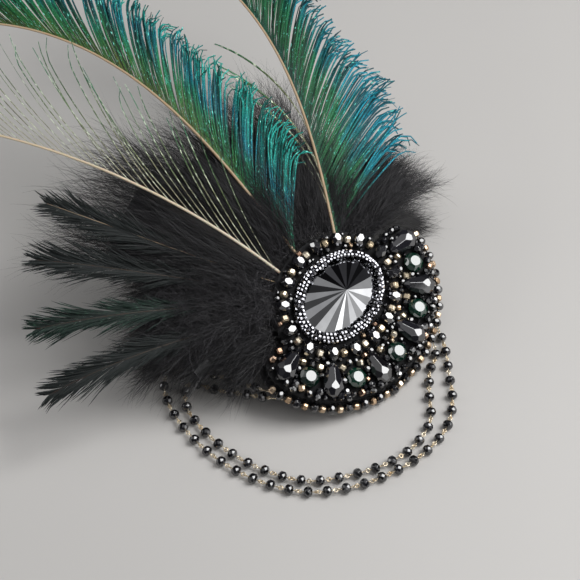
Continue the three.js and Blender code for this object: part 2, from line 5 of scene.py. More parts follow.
import bmesh
import bpy
import numpy as np
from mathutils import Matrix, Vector


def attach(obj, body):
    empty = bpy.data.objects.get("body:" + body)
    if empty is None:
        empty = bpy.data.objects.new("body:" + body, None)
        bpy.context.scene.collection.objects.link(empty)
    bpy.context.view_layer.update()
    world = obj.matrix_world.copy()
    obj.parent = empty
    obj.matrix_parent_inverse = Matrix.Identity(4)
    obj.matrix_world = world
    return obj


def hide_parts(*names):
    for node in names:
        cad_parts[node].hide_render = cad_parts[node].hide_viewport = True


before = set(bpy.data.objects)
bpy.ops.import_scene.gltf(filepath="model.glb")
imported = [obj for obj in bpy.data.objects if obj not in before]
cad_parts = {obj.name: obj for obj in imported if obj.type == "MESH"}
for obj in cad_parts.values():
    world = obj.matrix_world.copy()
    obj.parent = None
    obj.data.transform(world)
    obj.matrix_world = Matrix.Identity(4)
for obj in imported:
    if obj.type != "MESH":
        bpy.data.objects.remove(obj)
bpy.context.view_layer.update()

MM = 0.001
Z = np.array([0.0, 0.0, 1.0])

# Lie of the ornament
TILT = np.radians(28)
DESIGN_TURN = np.radians(8)

# Levels above the clip's underside, square to the felts
BACK_BASE = 1.5
FELT_THICK = 1.2
DOWN_BASE = 3.0
DOWN_TOP = 3.8
QUILL_LEVEL = 4.8
FRONT_BASE = 5.8
SEAT = 7.3

# Stones and beads
STONE_HALF = np.array([20.0, 13.7])
STONE_GIRDLE_LEVEL = 2.4
STONE_APEX_LEVEL = 9.9
RING_COUNT = 15
RING_BLACK = 5.5
RING_GOLD = 3.2
RING_HALF = np.array([27.45, 21.15])
GREEN_WIDTH = 8.0
GREEN_HEIGHT = 4.6
DROP_LENGTH = 14.0
DROP_WIDTH = 8.4
DROP_HEIGHT = 5.6
CRESCENT_HALF = np.array([38.4, 32.1])
CRESCENT_STEP = np.radians(16.6)
CRESCENT_COUNT = 11
FELT_MARGIN = 1.0
RING_OUTER = RING_HALF + RING_BLACK / 2
FELT_HALF = CRESCENT_HALF + DROP_LENGTH / 2 + FELT_MARGIN
EDGE_BLACK = 4.0
EDGE_GOLD = 3.0
EDGE_PAIRS = 18
EDGE_HALF = FELT_HALF + 2.4
EDGE_LEVEL = DOWN_BASE + EDGE_BLACK / 2
BACK_GROW = 1.4
BACK_HALF = FELT_HALF + BACK_GROW
HORN_START = np.radians(188)
HORN_END = np.radians(352)

# Chains
CHAIN_BEAD = 4.0
CHAIN_PITCH = 7.4
CHAIN_LEAD = 3.0
WIRE_RADIUS = 0.25
LOOP_RADIUS = 0.75

# The table under the ornament, which the back felt's lowest point touches
FLOOR = BACK_BASE * np.cos(TILT) - np.hypot(
    BACK_HALF[0] * np.sin(DESIGN_TURN), BACK_HALF[1] * np.cos(DESIGN_TURN)) * np.sin(TILT)

# Camera at the photograph's angle
CAMERA_PLACE = Vector((-0.3089, -0.2851, 0.5088))
CAMERA_AIM = Vector((-0.0134, 0.0103, 0.0109))
CAMERA_LENS = 100.9
CAMERA_SENSOR = 36.0


def turn_about_x(angle):
    c, s = np.cos(angle), np.sin(angle)
    return np.array([[1, 0, 0], [0, c, -s], [0, s, c]])


def turn_about_z(angle):
    c, s = np.cos(angle), np.sin(angle)
    return np.array([[c, -s, 0], [s, c, 0], [0, 0, 1]])


LEAN = turn_about_x(TILT)
DESIGN = LEAN @ turn_about_z(DESIGN_TURN)
DOWN = LEAN.T @ -Z  # the way that things fall, seen from the felts


# Arrays of points and faces

def unit(vectors):
    return vectors / np.maximum(np.linalg.norm(vectors, axis=-1, keepdims=True), 1e-9)


def ease(share):
    share = np.clip(share, 0, 1)
    return share * share * (3 - 2 * share)


def grid_faces(rows, columns, close_columns=False, close_rows=False):
    """Quads of a grid of points: each joins a point to the next in its row and in its column,
    and closing joins the last to the first."""
    row = np.arange(rows if close_rows else rows - 1)[:, None]
    column = np.arange(columns if close_columns else columns - 1)[None]
    below, right = (row + 1) % rows, (column + 1) % columns
    quads = [row * columns + column, row * columns + right,
             below * columns + right, below * columns + column]
    return np.stack(np.broadcast_arrays(*quads), -1).reshape(-1, 4)


class Shape:
    """Points in millimetres, arrays of faces, and named values at the points."""

    def __init__(self, points, faces, **values):
        points = np.asarray(points, float)
        lead = points.shape[:-1]
        self.points = points.reshape(-1, 3)
        self.faces = faces
        self.values = {name: np.broadcast_to(value, lead).astype(float).ravel()
                       for name, value in values.items()}

    def moved(self, turn, place=(0, 0, 0)):
        self.points = self.points @ np.asarray(turn).T + np.asarray(place)
        return self

    def rested(self, clear=0.1):
        """Lifts to just above the floor whatever would reach below it."""
        self.points[:, 2] = np.maximum(self.points[:, 2], FLOOR + clear)
        return self


def ribbons(points, **values):
    """Open grids, one for each entry of points, whose shape is ribbon, row, column, 3."""
    count, rows, columns = points.shape[:3]
    one = grid_faces(rows, columns)
    faces = one[None] + rows * columns * np.arange(count)[:, None, None]
    return Shape(points, [faces.reshape(-1, 4)], **values)


def copies(shape, turns, places, **values):
    """The shape again at every place, turned by that place's matrix, with values of its own."""
    count, size = len(places), len(shape.points)
    points = np.einsum("nij,pj->npi", turns, shape.points) + places[:, None]
    faces = [(f[None] + size * np.arange(count)[:, None, None]).reshape(-1, f.shape[1])
             for f in shape.faces]
    return Shape(points, faces, **{name: np.asarray(value, float)[:, None]
                                   for name, value in values.items()})


def lathe(along, radius, sides):
    """A profile turned about X: a point at each station's place along X, at its radius, for
    every side, with flat ends."""
    angle = 2 * np.pi * np.arange(sides) / sides
    along, radius = np.broadcast_arrays(np.asarray(along, float), np.asarray(radius, float))
    points = np.stack([np.broadcast_to(along[:, None], (len(along), sides)),
                       radius[:, None] * np.cos(angle), radius[:, None] * np.sin(angle)], -1)
    ends = np.stack([np.arange(sides)[::-1], np.arange(sides) + (len(along) - 1) * sides])
    return Shape(points, [grid_faces(len(along), sides, close_columns=True)[:, ::-1],
                          ends[:, ::-1]])


def torus(ring, wire, turns, sides):
    """A wire bent to a ring in the XY plane: the ring's circle, with the wire's circle square
    to it at each turn."""
    u = 2 * np.pi * np.arange(turns)[:, None] / turns
    v = 2 * np.pi * np.arange(sides)[None] / sides
    reach = ring + wire * np.cos(v)
    points = np.stack([reach * np.cos(u), reach * np.sin(u),
                       np.broadcast_to(wire * np.sin(v), (turns, sides))], -1)
    return Shape(points, [grid_faces(turns, sides, True, True)[:, ::-1]])


def tube(centres, radii, sides, upright=Z, flat=1.0, **values):
    """A profile carried along a path: an ellipse at each centre, square to the path, as wide as
    the radius and flat times as high, with flat ends."""
    direction = unit(np.gradient(centres, axis=0))
    side = unit(np.cross(direction, upright))
    top = np.cross(side, direction)
    angle = 2 * np.pi * (np.arange(sides) + 0.5) / sides
    radii = np.broadcast_to(radii, len(centres))[:, None, None]
    points = centres[:, None] + radii * (
        side[:, None] * np.cos(angle)[None, :, None]
        + flat * top[:, None] * np.sin(angle)[None, :, None])
    rows = len(centres)
    ends = np.stack([np.arange(sides)[::-1], np.arange(sides) + (rows - 1) * sides])
    values = {name: np.asarray(value, float)[:, None] for name, value in values.items()}
    return Shape(points, [grid_faces(rows, sides, close_columns=True), ends], **values)


def cut_stone(planes, rough=30.0, bevel=0.05, scale=(1, 1, 1)):
    """A block of rough that is cut flat by one plane for each facet, a direction and its
    distance from the middle, and whose edges are then polished off by a narrow bevel."""
    block = bmesh.new()
    bmesh.ops.create_cube(block, size=rough)
    for direction, distance in planes:
        cut = bmesh.ops.bisect_plane(
            block, geom=block.verts[:] + block.edges[:] + block.faces[:], dist=1e-5,
            plane_co=Vector(direction) * distance, plane_no=direction, clear_outer=True)
        edges = [item for item in cut["geom_cut"] if isinstance(item, bmesh.types.BMEdge)]
        if len(edges) > 2:
            bmesh.ops.contextual_create(block, geom=edges)
    if bevel:
        bmesh.ops.bevel(block, geom=block.edges[:], offset=bevel, segments=1, affect="EDGES")
    bmesh.ops.recalc_face_normals(block, faces=block.faces[:])
    block.verts.index_update()
    points = np.array([v.co for v in block.verts]) * scale
    corners = [[v.index for v in face.verts] for face in block.faces]
    block.free()
    sizes = sorted(set(map(len, corners)))
    return Shape(points, [np.array([c for c in corners if len(c) == size]) for size in sizes])


def facet_ring(count, tilt, distance, offset=0.0):
    """Facets evenly round X, each leaning by tilt degrees towards +X."""
    lean = np.radians(tilt)
    angles = 2 * np.pi * (np.arange(count) + offset) / count
    return [((np.sin(lean), np.cos(lean) * np.cos(a), np.cos(lean) * np.sin(a)), distance)
            for a in angles]


def oval_distance(tilt, half_length, half_width, share=0.97):
    """Distance of a facet that touches an oval of these half sizes, cut a little deeper."""
    lean = np.radians(tilt)
    return share * np.hypot(half_length * np.sin(lean), half_width * np.cos(lean))


def faceted_bead(width, length, sides, tilts):
    """A fire polished bead on X: a belt of facets, further rings on both sides of it that are
    turned by half a facet each, and flat ends round the hole."""
    planes = facet_ring(sides, 0, oval_distance(0, length / 2, width / 2, 0.99))
    for k, tilt in enumerate(tilts):
        distance = oval_distance(tilt, length / 2, width / 2, 1.0 - 0.03 * k)
        for sign in (1, -1):
            planes += facet_ring(sides, sign * tilt, distance, 0.5 * ((k + 1) % 2))
    planes += [((1, 0, 0), length * 0.44), ((-1, 0, 0), length * 0.44)]
    return cut_stone(planes, bevel=0.012 * width)


def turns_along(direction, upright):
    """Matrices that turn X to each direction and keep Z near upright."""
    x = unit(direction)
    y = unit(np.cross(np.broadcast_to(upright, x.shape), x))
    return np.stack([x, y, np.cross(x, y)], -1)


def roll_about_x(angles):
    c, s, o, i = np.cos(angles), np.sin(angles), np.zeros(len(angles)), np.ones(len(angles))
    return np.stack([np.stack([i, o, o], -1), np.stack([o, c, -s], -1),
                     np.stack([o, s, c], -1)], -2)


def ellipse(half, angle):
    return np.stack([half[0] * np.cos(angle), half[1] * np.sin(angle)], -1)


def even_angles(half, count, start=0.0, end=2 * np.pi, closed=True):
    """Angles that divide an ellipse's arc into equal lengths."""
    fine = np.linspace(start, end, 2881)
    steps = np.linalg.norm(np.diff(ellipse(half, fine), axis=0), axis=1)
    lengths = np.concatenate([[0], np.cumsum(steps)])
    wanted = np.linspace(0, lengths[-1], count + 1 if closed else count)
    return np.interp(wanted[:count], lengths, fine)


def on_ellipse(half, angle, level):
    """Places on an ellipse at a level, and the directions along it and out of it."""
    place = ellipse(half, angle)
    along = ellipse(half, angle + np.pi / 2)
    flat = np.zeros(len(place))
    level = np.broadcast_to(level, flat.shape)
    place = np.concatenate([place, level[:, None]], 1)
    along = unit(np.concatenate([along, flat[:, None]], 1))
    return place, along, np.cross(along, Z)


class Course:
    """A smooth line through chosen points, followed by its length. Between two points it is the
    cubic whose slopes there come from the neighbours, with the square root of each distance as
    the step."""

    def __init__(self, knots, lowest=None, fine=48):
        knots = np.asarray(knots, float)
        knots = np.concatenate([[2 * knots[0] - knots[1]], knots, [2 * knots[-1] - knots[-2]]])
        p0, p1, p2, p3 = knots[:-3], knots[1:-2], knots[2:-1], knots[3:]
        d0, d1, d2 = [np.linalg.norm(b - a, axis=1)[:, None] ** 0.5
                      for a, b in ((p0, p1), (p1, p2), (p2, p3))]
        m1 = d1 * ((p1 - p0) / d0 - (p2 - p0) / (d0 + d1) + (p2 - p1) / d1)
        m2 = d1 * ((p2 - p1) / d1 - (p3 - p1) / (d1 + d2) + (p3 - p2) / d2)
        t = np.linspace(0, 1, fine, endpoint=False)[None, :, None]
        spans = (p1[:, None] + t * m1[:, None]
                 + t ** 2 * (3 * (p2 - p1) - 2 * m1 - m2)[:, None]
                 + t ** 3 * (2 * (p1 - p2) + m1 + m2)[:, None])
        self.points = np.concatenate([spans.reshape(-1, 3), knots[-2:-1]])
        steps = np.linalg.norm(np.diff(self.points, axis=0), axis=1)
        self.lengths = np.concatenate([[0], np.cumsum(steps)])
        self.length = self.lengths[-1]
        if lowest is not None:
            self.points[:, 2] = np.maximum(self.points[:, 2], lowest)

    def at(self, along):
        return np.stack([np.interp(along, self.lengths, self.points[:, k]) for k in range(3)], -1)

    def direction(self, along, reach=0.6):
        return unit(self.at(along + reach) - self.at(along - reach))


# Materials as small trees of nodes

class Value:
    """A shader socket in a sum: each operator adds a Math node."""

    def __init__(self, paint, socket):
        self.paint, self.socket = paint, socket

    def math(self, operation, first, second=0.0):
        return self.paint.node("ShaderNodeMath", {"operation": operation}, {0: first, 1: second})

    def __add__(self, other):
        return self.math("ADD", self, other)

    def __sub__(self, other):
        return self.math("SUBTRACT", self, other)

    def __rsub__(self, other):
        return self.math("SUBTRACT", other, self)

    def __mul__(self, other):
        return self.math("MULTIPLY", self, other)

    def __pow__(self, other):
        return self.math("POWER", self, other)

    def above(self, edge, soft):
        """Rises from 0 to 1 as the value passes the edge."""
        return self.paint.node("ShaderNodeMapRange", {"interpolation_type": "SMOOTHSTEP"},
                               {0: self, 1: edge - soft, 2: edge + soft, 3: 0.0, 4: 1.0})

    __radd__ = __add__
    __rmul__ = __mul__


class Paint:
    """The finish of one kind of piece. Constants go straight onto the shader's sockets."""

    def __init__(self, name, **constants):
        self.material = bpy.data.materials.new(name)
        self.material.use_nodes = True
        self.tree = self.material.node_tree
        self.shader = self.tree.nodes["Principled BSDF"]
        for socket, value in constants.items():
            self.shader.inputs[socket.replace("_", " ")].default_value = value

    def node(self, kind, settings, inputs, output=0):
        new = self.tree.nodes.new(kind)
        for name, value in settings.items():
            if name == "stops":
                self.set_stops(new.color_ramp, value)
            else:
                setattr(new, name, value)
        for key, value in inputs.items():
            if isinstance(value, Value):
                self.tree.links.new(value.socket, new.inputs[key])
            else:
                new.inputs[key].default_value = value
        return Value(self, new.outputs[output])

    @staticmethod
    def set_stops(ramp, stops):
        while len(ramp.elements) < len(stops):
            ramp.elements.new(0.5)
        for element, (place, color) in zip(ramp.elements, stops):
            element.position = place
            element.color = (*color, 1)

    def place(self):
        return self.node("ShaderNodeTexCoord", {}, {}, "Object")

    def attribute(self, name):
        return self.node("ShaderNodeAttribute", {"attribute_name": name}, {}, "Fac")

    def vector(self, x=0.0, y=0.0, z=0.0):
        return self.node("ShaderNodeCombineXYZ", {}, {0: x, 1: y, 2: z})

    def noise(self, vector, scale, detail=2.0, roughness=0.5):
        return self.node("ShaderNodeTexNoise", {}, {
            "Vector": vector, "Scale": scale, "Detail": detail, "Roughness": roughness})

    def ramp(self, value, stops):
        return self.node("ShaderNodeValToRGB", {"stops": stops}, {0: value})

    def mix(self, factor, a, b):
        a, b = [c if isinstance(c, Value) else (*c, 1) for c in (a, b)]
        return self.node("ShaderNodeMix", {"data_type": "RGBA"}, {0: factor, 6: a, 7: b}, 2)

    def bump(self, height, strength, distance):
        return self.node("ShaderNodeBump", {}, {
            "Height": height, "Strength": strength, "Distance": distance})

    def use(self, **links):
        for socket, value in links.items():
            self.tree.links.new(value.socket, self.shader.inputs[socket.replace("_", " ")])
        return self.material


def glass_finish(name, dark, light, ior=1.9, coat=0.0):
    """Polished opaque glass: a deep colour that varies from stone to stone, with faint wiping
    marks in its gloss."""
    paint = Paint(name, IOR=ior, Coat_Weight=coat, Coat_Roughness=0.03)
    tint = paint.attribute("tint")
    smear = paint.noise(paint.place(), 900.0, 3.0)
    return paint.use(Base_Color=paint.mix(tint, dark, light), Roughness=smear * 0.06 + 0.02)


def metal_finish(name, dark, light, roughness, scale=700.0):
    """Lustred metal: its tone changes from bead to bead and a little over each."""
    paint = Paint(name, Metallic=1.0)
    tint = paint.attribute("tint")
    cloud = paint.noise(paint.place(), scale, 3.0)
    tone = tint * 0.7 + cloud * 0.5 - 0.1
    return paint.use(Base_Color=paint.mix(tone, dark, light),
                     Roughness=cloud * roughness + roughness * 0.5)


def stone_finish():
    """Mirror coating on cut glass: its tone changes from facet to facet as painted reflection, with
    a faint cloud.
    """
    paint = Paint("hematite_mirror", Metallic=1.0)
    cloud = paint.noise(paint.place(), 220.0, 4.0)
    # Painted reflection: the facet tone sets how light each facet's mirror looks
    tone = paint.attribute("tone") * (cloud * 0.4 + 0.8)
    return paint.use(Base_Color=paint.mix(tone, (0.004, 0.004, 0.005), (0.97, 0.98, 1.0)),
                     Roughness=cloud * 0.05 + 0.02)


def felt_finish():
    """Dense black felt: matted fibres in two scales, painted greyer where they stand up and darker
    between them, as painted light and shade.
    """
    paint = Paint("black_felt", Sheen_Weight=0.08, Sheen_Roughness=0.5)
    place = paint.place()
    mat = paint.noise(place, 1400.0, 5.0, 0.7)
    cloud = paint.noise(place, 120.0, 3.0)
    # Painted light and shade: the colour greys where the bump rises and darkens in its dips
    grey = paint.mix(mat * 0.6 + cloud * 0.4, (0.002, 0.002, 0.0025), (0.014, 0.014, 0.016))
    return paint.use(Base_Color=grey, Roughness=cloud * 0.15 + 0.8,
                     Normal=paint.bump(mat, 0.8, 0.0004))


def down_finish():
    """Black down: nearly black at the root, with a soft grey sheen painted into its colour towards
    the tips.
    """
    paint = Paint("black_down", Sheen_Weight=0.12, Sheen_Roughness=0.4, IOR=1.45)
    along, tint = paint.attribute("along"), paint.attribute("tint")
    # Painted sheen: the colour greys towards the tips, more on fibres of higher tint
    tone = (along * 0.4 + 0.6) * tint
    return paint.use(Base_Color=paint.mix(tone, (0.001, 0.001, 0.0013), (0.060, 0.057, 0.064)),
                     Roughness=tint * 0.25 + 0.42)


def quill_finish(name, root, tip):
    """Horn of a shaft: pale at the root and warmer to the tip, with fine grooves along it."""
    paint = Paint(name, Subsurface_Weight=0.15, Subsurface_Scale=0.001)
    along, around = paint.attribute("along"), paint.attribute("around")
    groove = paint.noise(paint.vector(along * 6.0, around * 3.0), 9.0, 3.0)
    color = paint.mix(along * 0.9 + groove * 0.2, root, tip)
    return paint.use(Base_Color=color, Roughness=groove * 0.2 + 0.25,
                     Normal=paint.bump(groove, 0.3, 0.0001))


def barb_finish(name, stops, glint, glint_edge, metallic=0.45, roughness=0.22, gaps=0.32):
    """Iridescent barbs: the colour runs from the quill to the tip and shifts from clump to clump.
    It is painted darker as shade between the barbules, at the edges and on some strands, and
    painted glints stand where single barbules would catch the light."""
    paint = Paint(name)
    along, run = paint.attribute("along"), paint.attribute("run")
    strand, clump = paint.attribute("strand"), paint.attribute("clump")
    across, shift = paint.attribute("across"), paint.attribute("shift")
    painted_glint_spots = paint.noise(paint.vector(run * 0.55, strand * 91.0, across * 0.6), 0.9, 2.0)
    drift = paint.noise(paint.vector(run * 0.1, clump * 37.0), 1.0, 1.0)
    body = paint.ramp(along + shift + (drift - 0.5) * 0.5 + (clump - 0.5) * 0.16, stops)
    weave = paint.noise(paint.vector(run * 2.6, strand * 50.0, across * 2.0), 1.0, 2.0)
    # Painted shade: darker towards each barb's edges, in the dips of the weave and on strands under
    # the gaps value
    ridge = 1.0 - across * across * 0.65
    lit = (weave - 0.3) * 2.4 * ridge * (strand.above(gaps, 0.22) * 0.8 + 0.2)
    shaded = paint.mix(lit, (0.0, 0.006, 0.005), body)
    # Painted glints: the glint colour wherever the spot noise passes the glint edge
    painted_glint_mask = painted_glint_spots.above(glint_edge, 0.07)
    return paint.use(Base_Color=paint.mix(painted_glint_mask * 0.85, shaded, glint),
                     Metallic=1.0 * (along * 0.3 + (metallic - 0.15)),
                     Roughness=weave * 0.25 + roughness,
                     Normal=paint.bump(weave, 0.5, 0.0003))


def strand_finish(name, color, gloss=0.4):
    """Thin strands whose tone varies from one to the next."""
    paint = Paint(name, Specular_IOR_Level=0.6)
    tint, along = paint.attribute("tint"), paint.attribute("along")
    dark = tuple(0.35 * c for c in color)
    return paint.use(Base_Color=paint.mix(tint * 0.8 + along * 0.2, dark, color),
                     Roughness=tint * 0.2 + gloss)


def clip_finish():
    """Plain steel strip, brushed along its length."""
    paint = Paint("clip_steel", Metallic=1.0)
    brush = paint.node("ShaderNodeMapping", {},
                       {"Vector": paint.place(), "Scale": (60, 2500, 2500)})
    line = paint.noise(brush, 1.0, 3.0)
    return paint.use(Base_Color=paint.mix(line, (0.42, 0.42, 0.44), (0.66, 0.66, 0.68)),
                     Roughness=line * 0.2 + 0.22, Normal=paint.bump(line, 0.2, 0.0001))


def floor_finish():
    """Pale board, barely clouded."""
    paint = Paint("pale_floor")
    cloud = paint.noise(paint.place(), 3.0, 3.0)
    return paint.use(Base_Color=paint.mix(cloud, (0.56, 0.545, 0.525), (0.62, 0.605, 0.585)),
                     Roughness=cloud * 0.1 + 0.45)


def add_piece(name, shapes, material, slot=None, replaces=(), smooth=False):
    """One mesh from the shapes, with their values as attributes, that rides on the object."""
    mesh = bpy.data.meshes.new(name)
    points = np.concatenate([s.points for s in shapes]) * MM
    offsets = np.cumsum([0] + [len(s.points) for s in shapes])
    blocks = [f + o for s, o in zip(shapes, offsets) for f in s.faces if len(f)]
    totals = np.concatenate([np.full(len(f), f.shape[1]) for f in blocks])
    corners = np.concatenate([f.ravel() for f in blocks])
    mesh.vertices.add(len(points))
    mesh.vertices.foreach_set("co", points.ravel())
    mesh.loops.add(len(corners))
    mesh.loops.foreach_set("vertex_index", corners)
    mesh.polygons.add(len(totals))
    mesh.polygons.foreach_set("loop_start", np.concatenate([[0], np.cumsum(totals)[:-1]]))
    mesh.update(calc_edges=True)
    mesh.validate()
    mesh.polygons.foreach_set("use_smooth", np.full(len(mesh.polygons), smooth))
    for key in sorted({k for s in shapes for k in s.values}):
        data = np.concatenate([s.values.get(key, np.zeros(len(s.points))) for s in shapes])
        mesh.attributes.new(key, "FLOAT", "POINT").data.foreach_set("value", data)
    mesh.materials.append(material)
    piece = bpy.data.objects.new(name, mesh)
    bpy.context.scene.collection.objects.link(piece)
    if slot:
        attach(piece, "root")
        if replaces:
            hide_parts(*replaces)
    return piece


# Camera, light and floor

def add_camera():
    data = bpy.data.cameras.new("photo_camera")
    data.lens, data.sensor_width, data.sensor_fit = CAMERA_LENS, CAMERA_SENSOR, "HORIZONTAL"
    data.clip_start, data.clip_end = 0.01, 20
    camera = bpy.data.objects.new("photo_camera", data)
    camera.location = CAMERA_PLACE
    camera.rotation_euler = (CAMERA_AIM - CAMERA_PLACE).to_track_quat("-Z", "Y").to_euler()
    bpy.context.scene.collection.objects.link(camera)
    bpy.context.scene.camera = camera


def add_softbox(name, direction, distance, width, height, watts):
    """A soft light that faces the stone from a direction and distance in metres."""
    data = bpy.data.lights.new(name, "AREA")
    data.shape, data.size, data.size_y, data.energy = "RECTANGLE", width, height, watts
    light = bpy.data.objects.new(name, data)
    away = Vector(direction).normalized()
    light.location = away * distance
    light.rotation_euler = (-away).to_track_quat("-Z", "Y").to_euler()
    bpy.context.scene.collection.objects.link(light)


def add_world():
    """A dim studio: pale at the horizon, darkest just above it."""
    world = bpy.data.worlds.new("studio")
    world.use_nodes = True
    tree = world.node_tree
    place = tree.nodes.new("ShaderNodeTexCoord")
    split = tree.nodes.new("ShaderNodeSeparateXYZ")
    ramp = tree.nodes.new("ShaderNodeValToRGB")
    tree.links.new(place.outputs["Generated"], split.inputs[0])
    tree.links.new(split.outputs["Z"], ramp.inputs[0])
    Paint.set_stops(ramp.color_ramp, [
        (0.0, (0.22, 0.22, 0.23)), (0.25, (0.03, 0.03, 0.033)), (0.6, (0.05, 0.05, 0.055)),
        (1.0, (0.16, 0.16, 0.17))])
    tree.links.new(ramp.outputs[0], tree.nodes["Background"].inputs["Color"])
    bpy.context.scene.world = world


def add_stage():
    reach = 3000.0
    side = np.linspace(-reach, reach, 9)
    x, y = np.meshgrid(side, side, indexing="ij")
    points = np.stack([x, y, np.full_like(x, FLOOR)], -1)
    floor = add_piece("floor", [Shape(points, [grid_faces(9, 9)[:, ::-1]])], floor_finish())


add_camera()
add_world()
add_softbox("key_softbox", (0.4545, -0.38, 0.806), 0.9, 0.6, 0.6, 7.2)
add_softbox("front_softbox", (-0.09, -0.82, 0.56), 0.9, 0.5, 0.42, 0.66)
add_softbox("low_softbox", (0.16, -0.96, 0.22), 0.9, 0.36, 0.34, 0.4)
add_softbox("corner_softbox", (0.55, -0.83, 0.1), 0.9, 0.56, 0.26, 0.46)
add_softbox("right_softbox", (0.9, -0.4, 0.14), 0.9, 0.46, 0.3, 0.45)
add_softbox("overhead_softbox", (-0.14, 0.12, 0.98), 1.1, 1.2, 1.2, 1.6)
add_softbox("back_softbox", (-0.55, 0.75, 0.36), 0.9, 0.5, 0.5, 2.2)
add_stage()


# Felts and clip

def felt_outline(grow, count):
    """The ring's oval above and the crescent's larger oval below, joined by round horns, as
    evenly spaced points."""
    meet = np.radians(9)
    small = RING_OUTER + FELT_MARGIN + grow
    large = FELT_HALF + grow
    top = small[1] * np.sin(meet)
    left = ellipse(large, HORN_START)
    inner = large[0] - top - 4 * FELT_MARGIN
    t = np.linspace(0, 1, 30)[:, None]

    def curve(a, b, c):
        return (1 - t) ** 2 * a + 2 * t * (1 - t) * b + t ** 2 * c

    mirror = np.array([-1, 1])
    horn = curve(np.array([-inner, top]), np.array([left[0], top]), left)
    line = np.concatenate([
        ellipse(small, np.linspace(meet, np.pi - meet, 60)), horn,
        ellipse(large, np.linspace(HORN_START, HORN_END, 120)), (horn * mirror)[::-1]])
    line = np.concatenate([line, line[:1]])
    lengths = np.concatenate([[0], np.cumsum(np.linalg.norm(np.diff(line, axis=0), axis=1))])
    wanted = np.linspace(0, lengths[-1], count, endpoint=False)
    return np.stack([np.interp(wanted, lengths, line[:, k]) for k in range(2)], -1)


def felt_sheet(grow, base, seed):
    """A felt: its outline drawn in by each row of the edge's profile, which rounds the cut edge
    over, with slow ripples in the rim and flat faces within."""
    rng = np.random.default_rng(seed)
    outline = felt_outline(grow, 300)
    outward = unit(outline)
    edge = [(9, 1.0), (3, 1.0), (0.9, 0.97), (0.3, 0.85), (0.05, 0.62),
            (0.05, 0.38), (0.3, 0.15), (0.9, 0.03), (3, 0), (9, 0)]
    angle = np.arctan2(outline[:, 1], outline[:, 0])
    ripple = sum(rng.uniform(0.03, 0.09) * np.sin(k * angle + rng.uniform(0, 6))
                 for k in (5, 9, 14, 23))
    rows = []
    for inset, share in edge:
        flat = outline - outward * (inset + 0.12 * ripple[:, None] * (inset < 1))
        level = base + FELT_THICK * share + ripple * max(0, 1 - inset / 6)
        rows.append(np.concatenate([flat, level[:, None]], 1))
    points = np.stack(rows)
    count = len(outline)
    ends = np.stack([np.arange(count), np.arange(count)[::-1] + (len(edge) - 1) * count])
    return Shape(points, [grid_faces(len(edge), count, close_columns=True)[:, ::-1], ends])


def fibres(roots, directions, bends, lengths, width, segments, rng, tint=None):
    """Thin flat strands. Each starts at its root, its direction turns by its bend as it goes
    out, it is widest near the root and it ends in a point."""
    count = len(roots)
    s = np.linspace(0, 1, segments + 1)
    mid = (s[1:] + s[:-1])[None, :, None] / 2
    heading = unit(directions[:, None] + mid * bends[:, None])
    steps = heading * (lengths[:, None, None] / segments)
    path = np.concatenate([np.zeros((count, 1, 3)), np.cumsum(steps, axis=1)], 1)
    path += roots[:, None]
    across = unit(np.cross(heading, unit(rng.normal(size=(count, 1, 3)))))
    across = np.concatenate([across, across[:, -1:]], 1)
    half = (width * (1 - 0.85 * s ** 1.5) / 2)[None, :, None]
    points = np.stack([path - across * half, path + across * half], 2)
    tint = rng.uniform(0, 1, count) if tint is None else tint
    return ribbons(points, along=s[None, :, None], tint=tint[:, None, None])


def rim_fuzz(grow, base, count, seed):
    """Short hairs that stand out of a felt's cut edge."""
    rng = np.random.default_rng(seed)
    outline = felt_outline(grow, 600)
    pick = rng.integers(0, 600, count)
    outward = np.concatenate([unit(outline)[pick], np.zeros((count, 1))], 1)
    level = base + FELT_THICK * rng.uniform(0.1, 0.95, count)
    roots = np.concatenate([outline[pick], level[:, None]], 1) - outward * 0.15
    directions = unit(outward + rng.normal(0, 0.6, (count, 3)))
    bends = rng.normal(0, 0.9, (count, 3))
    return fibres(roots, directions, bends, rng.uniform(0.7, 2.2, count), 0.1, 4, rng)


def rim_stitches(grow, level, pitch, seed):
    """Whipped stitches over a felt's rim: short threads from inside the edge out over it."""
    rng = np.random.default_rng(seed)
    outline = felt_outline(grow, 1200)
    around = np.linalg.norm(np.diff(outline, axis=0), axis=1).sum()
    pick = np.linspace(0, 1200, int(around / pitch), endpoint=False).astype(int)
    outward = unit(outline[pick])
    along = np.stack([-outward[:, 1], outward[:, 0]], -1)
    s = np.linspace(0, 1, 7)[None, :, None]
    flat = (outline[pick][:, None] - outward[:, None] * (2.4 - 2.5 * s)
            + along[:, None] * (1.1 * (s - 0.5) + rng.normal(0, 0.12, (len(pick), 1, 1))))
    rise = np.broadcast_to(level - 0.28 * np.sin(np.pi * np.minimum(s, 0.92)), flat[..., :1].shape)
    centres = np.concatenate([flat, rise], -1)
    return [tube(line, 0.16, 5, tint=np.full(7, rng.uniform())) for line in centres]


felt = felt_finish()
front = felt_sheet(0, FRONT_BASE, 11).moved(DESIGN)
back = felt_sheet(BACK_GROW, BACK_BASE, 12).moved(DESIGN)
add_piece("front_felt_cloth", [front], felt, "black_felt", ["front_felt"], smooth=True)
add_piece("back_felt_cloth", [back], felt, "black_felt", ["back_felt"], smooth=True)
fuzz = [rim_fuzz(0, FRONT_BASE, 1500, 13).moved(DESIGN).rested(0),
        rim_fuzz(BACK_GROW, BACK_BASE, 1700, 14).moved(DESIGN).rested(0)]
black_thread = strand_finish("black_thread", (0.03, 0.03, 0.033), 0.45)
add_piece("felt_fuzz", fuzz, black_thread, "black_felt")
stitches = [s.moved(DESIGN).rested(0) for s in rim_stitches(BACK_GROW, BACK_BASE, 3.2, 15)]
add_piece("back_felt_stitches", stitches, black_thread, "black_felt", smooth=True)

